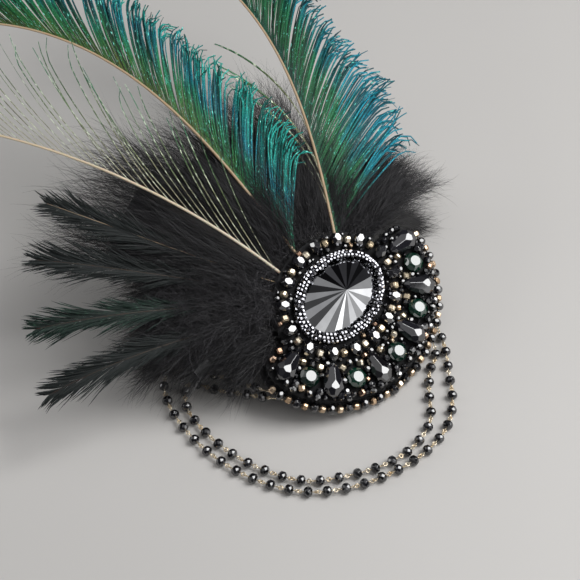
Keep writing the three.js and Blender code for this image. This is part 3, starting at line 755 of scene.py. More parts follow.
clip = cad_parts["back_clip"]
clip.data.materials.clear()
clip.data.materials.append(clip_finish())


# Stones and beads sewn on

# Girdle angles of the main stone's facets, as in its solid
GIRDLE_ANGLES = np.array([3, 17, 30, 41, 56, 70, 82, 95, 109, 124, 138, 152,
                          168, 186, 205, 221, 233, 247, 261, 273, 286, 301, 318, 340])


def cut_main_stone():
    """The oval stone: rings of corners at the back, the girdle's lower and upper edge, and a
    fan of flat facets up to one peak, each with corners of its own. Pale and dark facets take
    turns as painted reflections, with their corners higher and lower, and both are painted lighter
    towards the lower side."""
    rng = np.random.default_rng(22)
    angle = np.radians(GIRDLE_ANGLES)
    count = len(angle)
    pale = np.arange(count) % 2
    raised = (0.6 * pale - 0.3) * rng.uniform(0.3, 1, count)
    # Painted reflection: facet tones lighter towards the lower side, pale and dark facets in turn
    painted_lower_light = 0.5 - 0.5 * np.sin(angle)
    tone = np.where(pale, 0.4 + 0.3 * painted_lower_light, 0.04 + 0.22 * painted_lower_light) * rng.uniform(0.8, 1.2, count)
    rows = [(0.84, 0.0, 0), (1, 1.6, 0), (1, STONE_GIRDLE_LEVEL, 1)]
    points = [np.concatenate([ellipse(STONE_HALF, angle) * share,
                              (SEAT + level + raised * lift)[:, None]], 1)
              for share, level, lift in rows]
    top = points[-1]
    peak = np.broadcast_to([0, 0, SEAT + STONE_APEX_LEVEL], top.shape)
    fan = Shape(np.stack([top, np.roll(top, -1, axis=0), peak], 1),
                [np.arange(3 * count).reshape(-1, 3)], tone=tone[:, None])
    walls = grid_faces(3, count, close_columns=True)
    return [Shape(np.stack(points), [walls, np.arange(count)[::-1][None]], tone=0.3), fan]


# Rows of the bezel's seed beads: distance outside the stone's rim, level over the seat, width
BEZEL_ROWS = [(2.1, 0.9, 1.7), (2.1, 2.35, 1.7), (1.35, 3.6, 1.65), (-0.05, 4.2, 1.5)]
BEZEL_BEADS = 66


def seed_beads():
    """Rows of seven-sided seed beads stitched in brick fashion: each row is turned by half a bead
    from the one below, and single beads sit a little crooked."""
    rng = np.random.default_rng(21)
    made = []
    for row, (out, level, width) in enumerate(BEZEL_ROWS):
        half = STONE_HALF + out
        angle = even_angles(half, BEZEL_BEADS) + np.pi * (row % 2) / BEZEL_BEADS
        place, along, outward = on_ellipse(half, angle, SEAT + level)
        place += rng.normal(0, 0.05, place.shape)
        pitch = 2 * np.pi * half.mean() / BEZEL_BEADS
        along = unit(along + rng.normal(0, 0.07, along.shape))
        bead = lathe(np.array([-0.5, -0.44, -0.28, 0.28, 0.44, 0.5]) * pitch * 0.88,
                     np.array([0.2, 0.38, 0.52, 0.52, 0.38, 0.2]) * width, 7)
        turns = turns_along(along, Z) @ roll_about_x(rng.normal(np.pi / 14, 0.16, BEZEL_BEADS))
        made.append(copies(bead, turns, place, tint=rng.uniform(0, 1, BEZEL_BEADS)))
    return made


def ring_beads():
    """Black faceted beads and small gold ones in turn round the bezel, evenly along its oval."""
    rng = np.random.default_rng(22)
    angle = even_angles(RING_HALF, 2 * RING_COUNT)
    black_angle, gold_angle = angle[::2], angle[1::2]
    place, along, _ = on_ellipse(RING_HALF, black_angle, SEAT + RING_BLACK / 2)
    along = unit(along + rng.normal(0, 0.06, along.shape))
    turns = turns_along(along, Z) @ roll_about_x(np.pi / 2 + rng.normal(0, 0.08, RING_COUNT))
    black = copies(faceted_bead(RING_BLACK, RING_BLACK * 0.92, 6, (45, 70)), turns, place,
                   tint=rng.uniform(0, 1, RING_COUNT))
    place, along, _ = on_ellipse(RING_HALF, gold_angle, SEAT + RING_GOLD / 2 + 0.5)
    along = unit(along + rng.normal(0, 0.15, along.shape))
    turns = turns_along(along, Z) @ roll_about_x(rng.uniform(0, 7, RING_COUNT))
    gold = copies(gold_bead(RING_GOLD), turns, place, tint=rng.uniform(0, 1, RING_COUNT))
    return black, gold


def gold_bead(width):
    """A small cut bead, nearly a cube: four sides, chamfers between them and round its ends."""
    half = width / 2
    planes = facet_ring(4, 0, half * 0.94) + facet_ring(4, 0, half * 1.03, 0.5)
    for sign in (1, -1):
        planes += facet_ring(4, sign * 45, half * 1.02)
        planes += facet_ring(4, sign * 38, half * 1.1, 0.5)
        planes.append(((sign, 0, 0), half * 0.86))
    return cut_stone(planes, bevel=0.05)


def pear_stone():
    """A faceted drop on X: short facets round the point, long ones behind them, a belt of
    six-sided facets, one of them flat on top, and two rings that close the blunt end, pressed
    to the drop's height."""
    width = DROP_WIDTH / 2
    planes = facet_ring(8, -45, 5.4) + facet_ring(8, -14, 3.6, 0.5)
    planes += facet_ring(8, 2, width * 0.975)
    planes += facet_ring(8, 40, 5.35, 0.5) + facet_ring(8, 66, 6.35)
    planes += [((1, 0, 0), DROP_LENGTH / 2), ((-1, 0, 0), DROP_LENGTH / 2)]
    return cut_stone(planes, bevel=0.07, scale=(1, 1, DROP_HEIGHT / DROP_WIDTH))


def round_stone():
    """A round stone on Z: a wide table, two rings of crown facets, a girdle and a shallow back."""
    def ring(count, tilt, reach, level, offset=0.0):
        lean = np.radians(tilt)
        distance = reach * np.sin(lean) + level * np.cos(lean)
        angles = 2 * np.pi * (np.arange(count) + offset) / count
        return [((np.sin(lean) * np.cos(a), np.sin(lean) * np.sin(a), np.cos(lean)), distance)
                for a in angles]

    planes = [((0, 0, 1), GREEN_HEIGHT), ((0, 0, -1), 0)]
    planes += ring(14, 34, 2.15, GREEN_HEIGHT) + ring(7, 52, 3.1, 3.8, 0.25)
    planes += ring(14, 90, GREEN_WIDTH / 2, 0, 0.5) + ring(7, 128, GREEN_WIDTH / 2, 1.5)
    return cut_stone(planes, bevel=0.05)


def crescent_stones():
    """Pears and round stones in turn along the crescent, square to its oval."""
    rng = np.random.default_rng(23)
    step = CRESCENT_STEP * (np.arange(CRESCENT_COUNT) - (CRESCENT_COUNT - 1) / 2)
    angle = step - np.pi / 2
    drops, greens = angle[::2], angle[1::2]
    place, _, outward = on_ellipse(CRESCENT_HALF, drops, SEAT + DROP_HEIGHT / 2)
    outward = unit(outward + rng.normal(0, 0.03, outward.shape))
    pears = copies(pear_stone(), turns_along(outward, Z), place,
                   tint=rng.uniform(0, 1, len(drops)))
    place, along, outward = on_ellipse(CRESCENT_HALF, greens, SEAT)
    outward = unit(outward + rng.normal(0, 0.025, outward.shape))
    rounds = copies(round_stone(), turns_along(outward, Z), place,
                    tint=rng.uniform(0, 1, len(greens)))
    return pears, rounds


def rim_beads():
    """Black and gold beads in turn along the crescent's rim, on one thread."""
    rng = np.random.default_rng(24)
    angle = even_angles(EDGE_HALF, 2 * EDGE_PAIRS + 1, HORN_START, HORN_END, closed=False)
    gold_angle, black_angle = angle[::2], angle[1::2]
    made = []
    for angles, bead in ((black_angle, faceted_bead(EDGE_BLACK, EDGE_BLACK * 0.92, 8, (36, 64))),
                         (gold_angle, gold_bead(EDGE_GOLD))):
        place, along, _ = on_ellipse(EDGE_HALF, angles, EDGE_LEVEL)
        place += rng.normal(0, 0.12, place.shape)
        along = unit(along + rng.normal(0, 0.12, along.shape))
        turns = turns_along(along, Z) @ roll_about_x(rng.uniform(0, 7, len(angles)))
        made.append(copies(bead, turns, place, tint=rng.uniform(0, 1, len(angles))))
    fine = np.linspace(HORN_START, HORN_END, 160)
    place, _, _ = on_ellipse(EDGE_HALF, fine, EDGE_LEVEL)
    return made[0], made[1], tube(place, 0.3, 6, tint=np.zeros(160))


# Small beads that fill the crescent between its stones: steps from its middle, distance out from
# the oval of the stones' middles, width
FILLER_BEADS = [
    (half_step, out, width)
    for half_step in np.arange(-5, 5) + 0.5
    for out, width in ((-5.2, 3.0), (4.6, 3.4), (7.0, 2.9))
]


def filler_beads():
    """Three small beads in each gap of the crescent: one towards the ring, two at the rim."""
    rng = np.random.default_rng(25)
    gold, black = [], []
    for k, (step, out, width) in enumerate(FILLER_BEADS):
        angle = np.array([step * CRESCENT_STEP - np.pi / 2 + rng.normal(0, 0.02)])
        place, along, outward = on_ellipse(CRESCENT_HALF, angle, SEAT + width / 2)
        place = place + outward * out
        is_gold = (k + k // 3) % 4 == 0
        shape = gold_bead(width) if is_gold else faceted_bead(width, width * 0.9, 7, (40,))
        turn = turns_along(unit(outward + rng.normal(0, 0.4, (1, 3))), Z)
        turn = turn @ roll_about_x(rng.uniform(0, 7, 1))
        (gold if is_gold else black).append(
            copies(shape, turn, place, tint=rng.uniform(0, 1, 1)))
    return black, gold


# Widths tried for the seed beads that crowd the felt, largest first, and how many places
FILL_WIDTHS = (3.0, 2.5, 2.1, 1.6)
FILL_TRIES = 4000


def taken_places():
    """Circles on the felt that stones and larger beads cover: x, y and radius."""
    step = CRESCENT_STEP * (np.arange(CRESCENT_COUNT) - (CRESCENT_COUNT - 1) / 2) - np.pi / 2
    drops, greens = step[::2], step[1::2]
    ring = even_angles(RING_HALF, 2 * RING_COUNT)
    groups = [
        (ellipse(CRESCENT_HALF + 1.6, drops), 4.0), (ellipse(CRESCENT_HALF - 3.2, drops), 2.8),
        (ellipse(CRESCENT_HALF, greens), 4.0), (ellipse(RING_HALF, ring[::2]), 2.7),
        (ellipse(RING_HALF, ring[1::2]), 1.6),
    ]
    for step_share, out, width in FILLER_BEADS:
        angle = np.array([step_share * CRESCENT_STEP - np.pi / 2])
        place, _, outward = on_ellipse(CRESCENT_HALF, angle, 0)
        groups.append(((place + outward * out)[:, :2], width / 2))
    return np.concatenate([np.column_stack([xy, np.full(len(xy), r)]) for xy, r in groups])


def inside_outline(points, outline):
    """Whether each point lies inside a closed outline: its edges are crossed an odd number of
    times on the way out along X."""
    x, y = points[:, None, 0], points[:, None, 1]
    ax, ay = outline[None, :, 0], outline[None, :, 1]
    bx, by = np.roll(ax, -1), np.roll(ay, -1)
    rise = np.where(by == ay, 1e-9, by - ay)
    crossed = ((ay > y) != (by > y)) & (x < ax + (bx - ax) * (y - ay) / rise)
    return crossed.sum(1) % 2 == 1


def crowd_beads():
    """Small beads in every gap of the felt: places are tried at random, the largest width
    first, and kept where they touch no stone or bead already there."""
    rng = np.random.default_rng(26)
    taken = taken_places()
    reach = FELT_HALF + 1
    kept = []
    for width in FILL_WIDTHS:
        tries = rng.uniform(-reach, reach, (FILL_TRIES, 2))
        tries = tries[inside_outline(tries, felt_outline(-width / 2, 300))]
        tries = tries[((tries / (STONE_HALF + 3.3 + width / 2)) ** 2).sum(1) > 1]
        for place in tries:
            if (np.hypot(*(taken[:, :2] - place).T) > taken[:, 2] + width * 0.46).all():
                taken = np.vstack([taken, [*place, width / 2]])
                kept.append((*place, width))
    kept = np.array(kept)
    kind = rng.choice(3, len(kept), p=(0.84, 0.08, 0.08)) * (kept[:, 2] > 2)
    kinds = [[], [], []]
    for width in FILL_WIDTHS:
        for number in range(3):
            here = kept[(kept[:, 2] == width) & (kind == number)]
            count = len(here)
            shape = gold_bead(width) if number else faceted_bead(width, width * 0.9, 7, (42,))
            along = unit(np.column_stack([rng.normal(size=(count, 2)), np.zeros(count)]))
            turns = turns_along(along, Z) @ roll_about_x(rng.uniform(0, 7, count))
            level = SEAT + width / 2 + rng.uniform(0, 0.5, count)
            places = np.column_stack([here[:, :2], level])
            kinds[number].append(copies(shape, turns, places, tint=rng.uniform(0, 1, count)))
    return kinds


jet = glass_finish("jet_glass", (0.001, 0.001, 0.0015), (0.010, 0.010, 0.014), 2.2)
plain_jet = glass_finish("plain_jet", (0.001, 0.001, 0.0015), (0.006, 0.006, 0.009), 2.05)
lustre_jet = glass_finish("lustre_jet", (0.001, 0.001, 0.0015), (0.012, 0.012, 0.016), 2.9)
gold_lustre = metal_finish("gold_lustre", (0.80, 0.62, 0.38), (1.0, 0.92, 0.76), 0.3)
tan_lustre = metal_finish("tan_lustre", (0.44, 0.29, 0.17), (0.86, 0.70, 0.52), 0.3)
copper_lustre = metal_finish("copper_lustre", (0.24, 0.13, 0.08), (0.54, 0.38, 0.28), 0.25)
hematite_seed = metal_finish("hematite_seed", (0.16, 0.16, 0.17), (0.34, 0.34, 0.37), 0.1)
green_glass = glass_finish("green_glass", (0.001, 0.010, 0.006), (0.002, 0.035, 0.019), 2.1)

add_piece("main_stone_cut", [s.moved(DESIGN) for s in cut_main_stone()], stone_finish(),
          "hematite_glass", ["main_stone"])
add_piece("bezel_seed_beads", [s.moved(DESIGN) for s in seed_beads()], hematite_seed,
          "bezel_beads", ["stone_bezel"])
ring_black, ring_gold = ring_beads()
add_piece("ring_black_beads", [ring_black.moved(DESIGN)], lustre_jet, "jet_glass",
          [f"ring_black_bead_{k + 1}" for k in range(RING_COUNT)])
add_piece("ring_gold_beads", [ring_gold.moved(DESIGN)], gold_lustre, "gold_metal",
          [f"ring_gold_bead_{k + 1}" for k in range(RING_COUNT)])
pears, rounds = crescent_stones()
add_piece("pear_stones", [pears.moved(DESIGN)], jet, "jet_glass",
          [f"drop_stone_{k + 1}" for k in range(6)])
add_piece("round_green_stones", [rounds.moved(DESIGN)], green_glass, "green_glass",
          [f"green_stone_{k + 1}" for k in range(5)])
rim_black, rim_gold, rim_thread = rim_beads()
add_piece("rim_black_beads", [rim_black.moved(DESIGN)], plain_jet, "edge_beads",
          ["edge_beads"])
add_piece("rim_gold_beads", [rim_gold.moved(DESIGN)], tan_lustre, "edge_beads")
filler_black, filler_gold = filler_beads()
add_piece("filler_black_beads", [s.moved(DESIGN) for s in filler_black], lustre_jet,
          "edge_beads")
add_piece("filler_gold_beads", [s.moved(DESIGN) for s in filler_gold], gold_lustre, "edge_beads")
for name, shapes, finish in zip(("black", "gold", "copper"), crowd_beads(),
                                (plain_jet, tan_lustre, copper_lustre)):
    add_piece(f"small_{name}_beads", [s.moved(DESIGN) for s in shapes], finish, "edge_beads")
add_piece("rim_thread", [rim_thread.moved(DESIGN)], black_thread, "black_felt", smooth=True)


# Draped chains

# Chosen points of the chains on the floor, from the lower rim round to the fluff
OUTER_ROUTE = [
    (28.5, -36), (23, -43.5), (17, -50), (9, -59), (-2, -66.5), (-16, -69), (-32, -67),
    (-50, -60), (-65, -48), (-75, -28), (-78, -5), (-74, 17), (-66, 29), (-56, 30), (-52, 20),
]
INNER_ROUTE = [
    (20, -40.4), (12.5, -43.8), (4, -51), (-6, -60.5), (-19, -64), (-33, -62), (-48, -55),
    (-61, -45), (-70, -26), (-72.5, -5), (-69, 13), (-61, 20), (-55, 10),
]


def rim_point(degrees, outside=0.85):
    """Place of a point on the back felt's rim, seen from the floor."""
    place = ellipse(BACK_HALF + outside, np.radians(degrees))
    return DESIGN @ np.array([*place, BACK_BASE + FELT_THICK / 2])


def chain_course(route, start, end):
    level = FLOOR + CHAIN_BEAD / 2
    knots = [rim_point(start)] + [(x, y, level) for x, y in route] + [rim_point(end)]
    return Course(knots, lowest=level)


def chain_shapes(route, start, end, seed):
    """Beads at an even pitch along the chain's course. Each has a wire through it that ends in a
    loop on both sides, and neighbouring loops hold each other crosswise."""
    rng = np.random.default_rng(seed)
    course = chain_course(route, start, end)
    count = int((course.length - 2 * CHAIN_LEAD) // CHAIN_PITCH)
    margin = (course.length - count * CHAIN_PITCH) / 2
    middle = margin + CHAIN_PITCH * (np.arange(count) + 0.5)
    place, heading = course.at(middle), course.direction(middle)
    roll = np.where(abs(heading @ LEAN[:, 2]) > 0.17, np.pi / 8, 0) + rng.normal(0, 0.13, count)
    turns = turns_along(heading, LEAN[:, 2]) @ roll_about_x(roll)
    beads = copies(faceted_bead(CHAIN_BEAD, CHAIN_BEAD * 0.94, 8, (21, 52)), turns, place,
                   tint=rng.uniform(0, 1, count))
    loop = torus(LOOP_RADIUS, WIRE_RADIUS, 14, 6)
    neck = lathe([-0.75, 0.75], WIRE_RADIUS, 6)
    loop_reach = CHAIN_PITCH / 2 - LOOP_RADIUS + WIRE_RADIUS
    links = []
    joint_roll = rng.uniform(0, 7, count + 1)
    for sign in (-1, 1):
        roll = joint_roll[:-1] if sign < 0 else joint_roll[1:] + np.pi / 2
        at = middle + sign * loop_reach
        turned = turns_along(course.direction(at), Z) @ roll_about_x(roll)
        links.append(copies(loop, turned, course.at(at), tint=rng.uniform(0, 1, count)))
        at = middle + sign * (CHAIN_BEAD / 2 + 0.1)
        links.append(copies(neck, turns_along(course.direction(at), Z), course.at(at),
                            tint=rng.uniform(0, 1, count)))
    reach = margin + CHAIN_PITCH / 2 - loop_reach - LOOP_RADIUS
    for lead in (np.linspace(0, reach, 12), course.length - np.linspace(reach, 0, 12)):
        links.append(tube(course.at(lead), WIRE_RADIUS, 6, tint=np.full(12, 0.5)))
    return beads, links


for number, (name, *ends) in enumerate((("outer", OUTER_ROUTE, -57, 188),
                                        ("inner", INNER_ROUTE, -65, 196))):
    beads, links = chain_shapes(*ends, 31 + number)
    add_piece(f"chain_{name}_beads", [beads], plain_jet, "chain_beads", [f"chain_{name}"])
    add_piece(f"chain_{name}_links", links, gold_lustre, "chain_beads", smooth=True)


# Feathers

QUILL_RADIUS = 0.7
QUILL_STEPS = 32

# Course of each quill and the barbs on one side of it, as lengths and degrees
SWORDS = {
    "middle": dict(root=(-1, 9), length=220, sag=26, heading=90, turn=-25, curl=98,
                   barb=46, start=0.12, off=30, off_end=46, lift=0.03),
    "left": dict(root=(-9, 10.5), length=200, sag=20, heading=104, turn=29, curl=5,
                 barb=72, start=0.15, off=20, off_end=40, lift=0.14),
    "right": dict(root=(11, 8), length=205, sag=30, heading=60, turn=-5, curl=71,
                  barb=48, start=0.13, off=26, off_end=40, lift=0.03),
}
BARE_SHARE = 0.075
ENVELOPE_PLACES = [0, 0.25, 0.5, 0.8, 1]
ENVELOPE_SHARES = [0.75, 0.95, 1, 0.8, 0.4]


def quill_course(sword):
    """A quill's heading turns along its length by turn times the share and curl times its
    square, and it sags with the square of the share."""
    share = np.arange(QUILL_STEPS + 1) / QUILL_STEPS
    heading = np.radians(sword["heading"] + sword["turn"] * share + sword["curl"] * share ** 2)
    step = sword["length"] / QUILL_STEPS
    flat = step * np.stack([np.cos(heading), np.sin(heading), 0 * heading], -1)
    foot = np.array([*sword["root"], QUILL_LEVEL]) + np.concatenate(
        [np.zeros((1, 3)), np.cumsum(flat[:-1], axis=0)])
    return Course(foot + DOWN * (sword["sag"] * share ** 2)[:, None], fine=8)


def shaft(course, root_radius, tip_share, rows=70, sides=8):
    along = np.linspace(0, course.length, rows)
    share = along / course.length
    radii = root_radius * (1 + (tip_share - 1) * share)
    made = tube(course.at(along), radii, sides, flat=0.85, along=share)
    made.values["around"] = np.tile(np.abs(np.linspace(-1, 1, sides)), rows)
    return made


def barbs(course, starts, lengths, off, off_end, lift, width, rng, side=1, clump=4, pull=0.7,
          hook=(60, 40), spread=4, segments=14, root_width=0.5, tip_width=0.7, wave=0.6,
          shift=0.0, splay=0.0):
    """Barbs as narrow ridged ribbons. A barb leaves the quill at its angle, which opens evenly
    towards the tip and bends over by hook at the end. Beyond the middle of the vane, neighbours
    are drawn to the middle of their clump. Across, each has an edge, a raised ridge and an edge.
    Lift is the slope at which a barb rises. Shift moves its colour towards that of the tips."""
    count = len(starts)
    lift = np.broadcast_to(lift, count)[:, None]
    s = np.linspace(0, 1, segments + 1)
    mid = (s[1:] + s[:-1])[None] / 2
    groups = np.cumsum(rng.uniform(0, 1, count) < 1 / clump)
    tone = rng.uniform(0, 1, groups.max() + 1)[groups]
    centre = (np.bincount(groups, starts) / np.maximum(np.bincount(groups), 1))[groups]
    group_off = rng.normal(0, spread * 0.6, groups.max() + 1)[groups]
    group_hook = rng.normal(*hook, groups.max() + 1)[groups]
    tangent = course.direction(starts)
    right = unit(np.cross(tangent, Z))
    upper = np.cross(right, tangent)
    outward = right * side
    lean = group_off + rng.normal(0, spread * 0.4, count) + splay
    bend = group_hook + rng.normal(0, hook[1] * 0.5, count)
    tip = np.clip((mid - 0.8) / 0.2, 0, 1) ** 1.5
    angle = np.radians(off + lean[:, None] + (off_end - off) * mid + bend[:, None] * tip)
    rows = [np.zeros((count, 1))]
    forward = np.concatenate(rows + [np.cumsum(np.cos(angle), 1) / segments], 1)
    sideways = np.concatenate(rows + [np.cumsum(np.sin(angle), 1) / segments], 1)
    drawn = (centre - starts)[:, None] * pull * ease((s - 0.4) / 0.55)[None]
    rise = lift * s[None] * lengths[:, None] + rng.normal(0, wave, (count, 1)) * s[None] ** 2
    path = (course.at(starts)[:, None]
            + tangent[:, None] * (lengths[:, None] * forward + drawn)[..., None]
            + outward[:, None] * (lengths[:, None] * sideways)[..., None]
            + upper[:, None] * rise[..., None])
    direction = unit(np.gradient(path, axis=1))
    across = unit(np.cross(direction, upper[:, None]))
    up = np.cross(across, direction)
    roll = rng.normal(0, 0.5, (count, 1, 1)) * s[None, :, None] + rng.normal(0, 0.25, (count, 1, 1))
    across, up = (across * np.cos(roll) + up * np.sin(roll),
                  up * np.cos(roll) - across * np.sin(roll))
    profile = root_width + (1 - root_width) * ease(s / 0.5)
    profile = profile * (1 - (1 - tip_width) * ease((s - 0.85) / 0.15))
    half = (profile * width / 2)[None, :, None]
    points = np.stack([path - across * half, path + up * half * 0.5, path + across * half], 2)
    shift = np.broadcast_to(shift, count)
    return ribbons(points, along=s[None, :, None], run=(s[None] * lengths[:, None])[..., None],
                   strand=rng.uniform(0, 1, count)[:, None, None], clump=tone[:, None, None],
                   across=np.array([-1.0, 0, 1])[None, None], shift=shift[:, None, None])


def spaced(start, end, root_gap, tip_gap):
    """Places from start to end whose gaps change evenly from one size to the other."""
    count = int(2 * (end - start) / (root_gap + tip_gap))
    share = np.linspace(0, 1, count)
    gaps = root_gap + (tip_gap - root_gap) * share
    places = np.cumsum(gaps)
    return start + (places - places[0]) * (end - start) / (places[-1] - places[0])


def sword_barbs(name, root_gap, tip_gap, width, seed, longer=0.0, splay=0.0, shift=0.0,
                steeper=0.0, **style):
    """The vane of a sword feather, from where its quill leaves the felts. Near the root its
    barbs are longer, splayed, nearer the tips' colour and steeper by the shares given."""
    sword = SWORDS[name]
    rng = np.random.default_rng(seed)
    course = quill_course(sword)
    starts = spaced(BARE_SHARE * course.length, course.length - 1, root_gap, tip_gap)
    share = (starts / course.length - sword["start"]) / (1 - sword["start"])
    lengths = sword["barb"] * np.interp(share, ENVELOPE_PLACES, ENVELOPE_SHARES)
    near_root = 1 - ease(share / 0.3)
    lengths = lengths * rng.uniform(0.86, 1.06, len(starts)) * (1 + longer * near_root)
    return barbs(course, starts, lengths, sword["off"], sword["off_end"],
                 sword["lift"] + steeper * near_root, width,
                 rng, shift=shift * near_root, splay=splay * near_root, **style)


def stray_barbs():
    """Five long barbs on the bare side of the right feather, which curve far away from it."""
    rng = np.random.default_rng(44)
    course = quill_course(SWORDS["right"])
    starts = np.array([0.13, 0.15, 0.2, 0.22, 0.3]) * course.length
    lengths = np.array([62.0, 66, 70, 64, 60])
    return barbs(course, starts, lengths, 4, 62, 0.0, 0.75, rng, side=-1, clump=2, pull=0.2,
                 hook=(0, 5), spread=3, segments=18, root_width=0.5)


ivory = quill_finish("ivory_quill", (0.80, 0.72, 0.56), (0.62, 0.48, 0.30))
tan = quill_finish("tan_quill", (0.46, 0.33, 0.20), (0.52, 0.38, 0.24))
PEACOCK_STOPS = [
    (0.0, (0.16, 0.24, 0.02)), (0.28, (0.03, 0.32, 0.06)), (0.52, (0.0, 0.36, 0.19)),
    (0.74, (0.0, 0.32, 0.46)), (1.0, (0.02, 0.62, 0.52)),
]
OLIVE_STOPS = [
    (0.0, (0.80, 0.72, 0.48)), (0.3, (0.52, 0.52, 0.28)), (0.6, (0.20, 0.34, 0.10)),
    (0.85, (0.08, 0.34, 0.12)), (1.0, (0.05, 0.36, 0.18)),
]
DEEP_STOPS = [
    (0.0, (0.0, 0.12, 0.07)), (0.3, (0.02, 0.24, 0.07)), (0.55, (0.02, 0.33, 0.12)),
    (0.75, (0.0, 0.33, 0.36)), (1.0, (0.0, 0.44, 0.62)),
]
# The colour after each list of stops is that of the painted glints, the number after it where they
# start
dense_barbs = barb_finish("peacock_barbs", PEACOCK_STOPS, (0.25, 0.95, 0.78), 0.68)
sparse_barbs = barb_finish("olive_barbs", OLIVE_STOPS, (0.85, 0.95, 0.72), 0.60, 0.2, gaps=0.0)
deep_barbs = barb_finish("deep_green_barbs", DEEP_STOPS, (0.20, 0.85, 0.68), 0.69)

sword_pieces = {
    "middle": ([sword_barbs("middle", 0.42, 0.4, 0.7, 41, 0.3, 0, 0.35, 0.13)], dense_barbs, tan),
    "left": ([sword_barbs("left", 5.2, 0.5, 0.42, 42, 0.1, -6, 0, 0.06, clump=1.2, pull=0.15,
                          hook=(10, 12), root_width=0.75, spread=2.5, wave=1.2)],
             sparse_barbs, ivory),
    "right": ([sword_barbs("right", 0.45, 0.45, 0.75, 43, 0.55, 12, 0.2, 0.08)], deep_barbs, tan),
}
for name, (vane, vane_finish, horn) in sword_pieces.items():
    add_piece(f"sword_barbs_{name}", [v.moved(LEAN) for v in vane], vane_finish, "sword_barbs",
              [f"sword_feather_{name}"], smooth=True)
    quill = shaft(quill_course(SWORDS[name]), QUILL_RADIUS, 0.55).moved(LEAN)
    add_piece(f"sword_quill_{name}", [quill], horn, "sword_barbs", smooth=True)


add_piece("stray_barbs", [stray_barbs().moved(LEAN)], sparse_barbs, "sword_barbs", smooth=True)


# Marabou

TUFT_DEPTH = 12.0
TUFT_WIDTH = 15.0
FELT_EDGE_ROOM = 2.5

# Locks of each tuft: heading, reach, sink and bend sideways
TUFTS = {
    "left": [(135, 80, 14, 0), (142, 94, 46, 0), (149, 80, 20, 0), (156, 84, 26, 0),
             (163, 70, 8, 5)],
    "middle": [(84, 62, 12, 0), (92, 72, 58, 0), (101, 60, 16, 0), (110, 74, 56, 0),
               (117, 64, 14, 0)],
    "right": [(27, 72, 26, -16), (34, 80, 12, -10), (41, 80, 44, -4), (49, 80, 14, 0),
              (57, 76, 44, 0)],
}
LOCK_PLACES = np.array([0, 0.3, 0.6, 0.85, 1])
LOCK_WIDTHS = np.array([0.3, 0.9, 1, 0.6, 0.12])
LOCK_DEPTHS = np.array([0, 0.75, 1, 0.6, 0.1])


def edge_reach(heading):
    """Distance from the middle to the back felt's edge above the ring."""
    half = RING_OUTER + FELT_MARGIN + BACK_GROW
    turned = heading - DESIGN_TURN
    return 1 / np.hypot(np.cos(turned) / half[0], np.sin(turned) / half[1])


def lock_course(heading, reach, sink, bend):
    """The middle line of a lock of down: straight out of the felts at its heading, bending
    sideways with the share of its reach and sinking with its square, never below the floor."""
    heading, bend = np.radians(heading), np.radians(bend)
    edge = edge_reach(heading) + FELT_EDGE_ROOM
    share = np.linspace(0, 1, 9)
    depth = 0.4 + (TUFT_DEPTH / 2 - 0.4) * np.interp(share, LOCK_PLACES, LOCK_DEPTHS)
    away = edge + (reach - edge) * share
    turn = heading + bend * share
    centre = np.stack([away * np.cos(turn), away * np.sin(turn), DOWN_TOP - depth], -1)
    centre = centre + DOWN * (sink * share ** 2)[:, None]
    height = centre[:, 1] * np.sin(TILT) + centre[:, 2] * np.cos(TILT) - depth
    return Course(centre - DOWN * np.maximum(0, FLOOR - height)[:, None], fine=12)


def lock_frame(course, share):
    direction = course.direction(share * course.length, 2.0)
    across = unit(np.cross(Z, direction))
    return direction, across, np.cross(direction, across)


def lock_shade_core(lock):
    """Painted shade inside a lock: a dark body of ovals along its middle line, two thirds of its
    width and depth, in the down's blackest colour."""
    course = lock_course(*lock)
    share = np.linspace(0.02, 0.9, 14)
    _, across, upper = lock_frame(course, share)
    angle = 2 * np.pi * np.arange(10)[None, :, None] / 10
    width = 0.62 * TUFT_WIDTH / 2 * np.interp(share, LOCK_PLACES, LOCK_WIDTHS)[:, None, None]
    depth = 0.3 + 0.5 * TUFT_DEPTH / 2 * np.interp(share, LOCK_PLACES, LOCK_DEPTHS)[:, None, None]
    points = (course.at(share * course.length)[:, None]
              + across[:, None] * width * np.cos(angle) + upper[:, None] * depth * np.sin(angle))
    ends = np.stack([np.arange(10)[::-1], np.arange(10) + 130])
    # Along and tint of nought give the down's blackest colour, as painted shade
    return Shape(points, [grid_faces(14, 10, close_columns=True), ends], along=0.0, tint=0.0)


def lock_fibres(lock, count, rng):
    """Fibres of a lock: each leaves the middle line at some share of it, leans out all round it
    and bends back along it, so that the lock swells and comes to a soft point."""
    course = lock_course(*lock)
    share = rng.uniform(0, 0.86, count) ** 0.9
    direction, across, upper = lock_frame(course, share)
    round_angle = rng.uniform(0, 2 * np.pi, count)[:, None]
    radial = across * np.cos(round_angle) * 1.25 + upper * np.sin(round_angle) * 0.8
    lean = rng.uniform(0.12, 0.75, count)[:, None]
    start = direction + radial * lean
    bends = (-radial * lean * rng.uniform(0.3, 1.3, (count, 1)) + direction * 0.6
             + rng.normal(0, 0.28, (count, 3)) + DOWN * 0.08)
    length = rng.uniform(14, 32, count) * (1 - 0.45 * share)
    size = np.interp(share, LOCK_PLACES, LOCK_WIDTHS)[:, None]
    roots = course.at(share * course.length) + radial * size * rng.uniform(0, 1.6, (count, 1))
    return fibres(roots, unit(start), bends, length, 0.16, 5, rng, rng.uniform(0, 0.6, count))


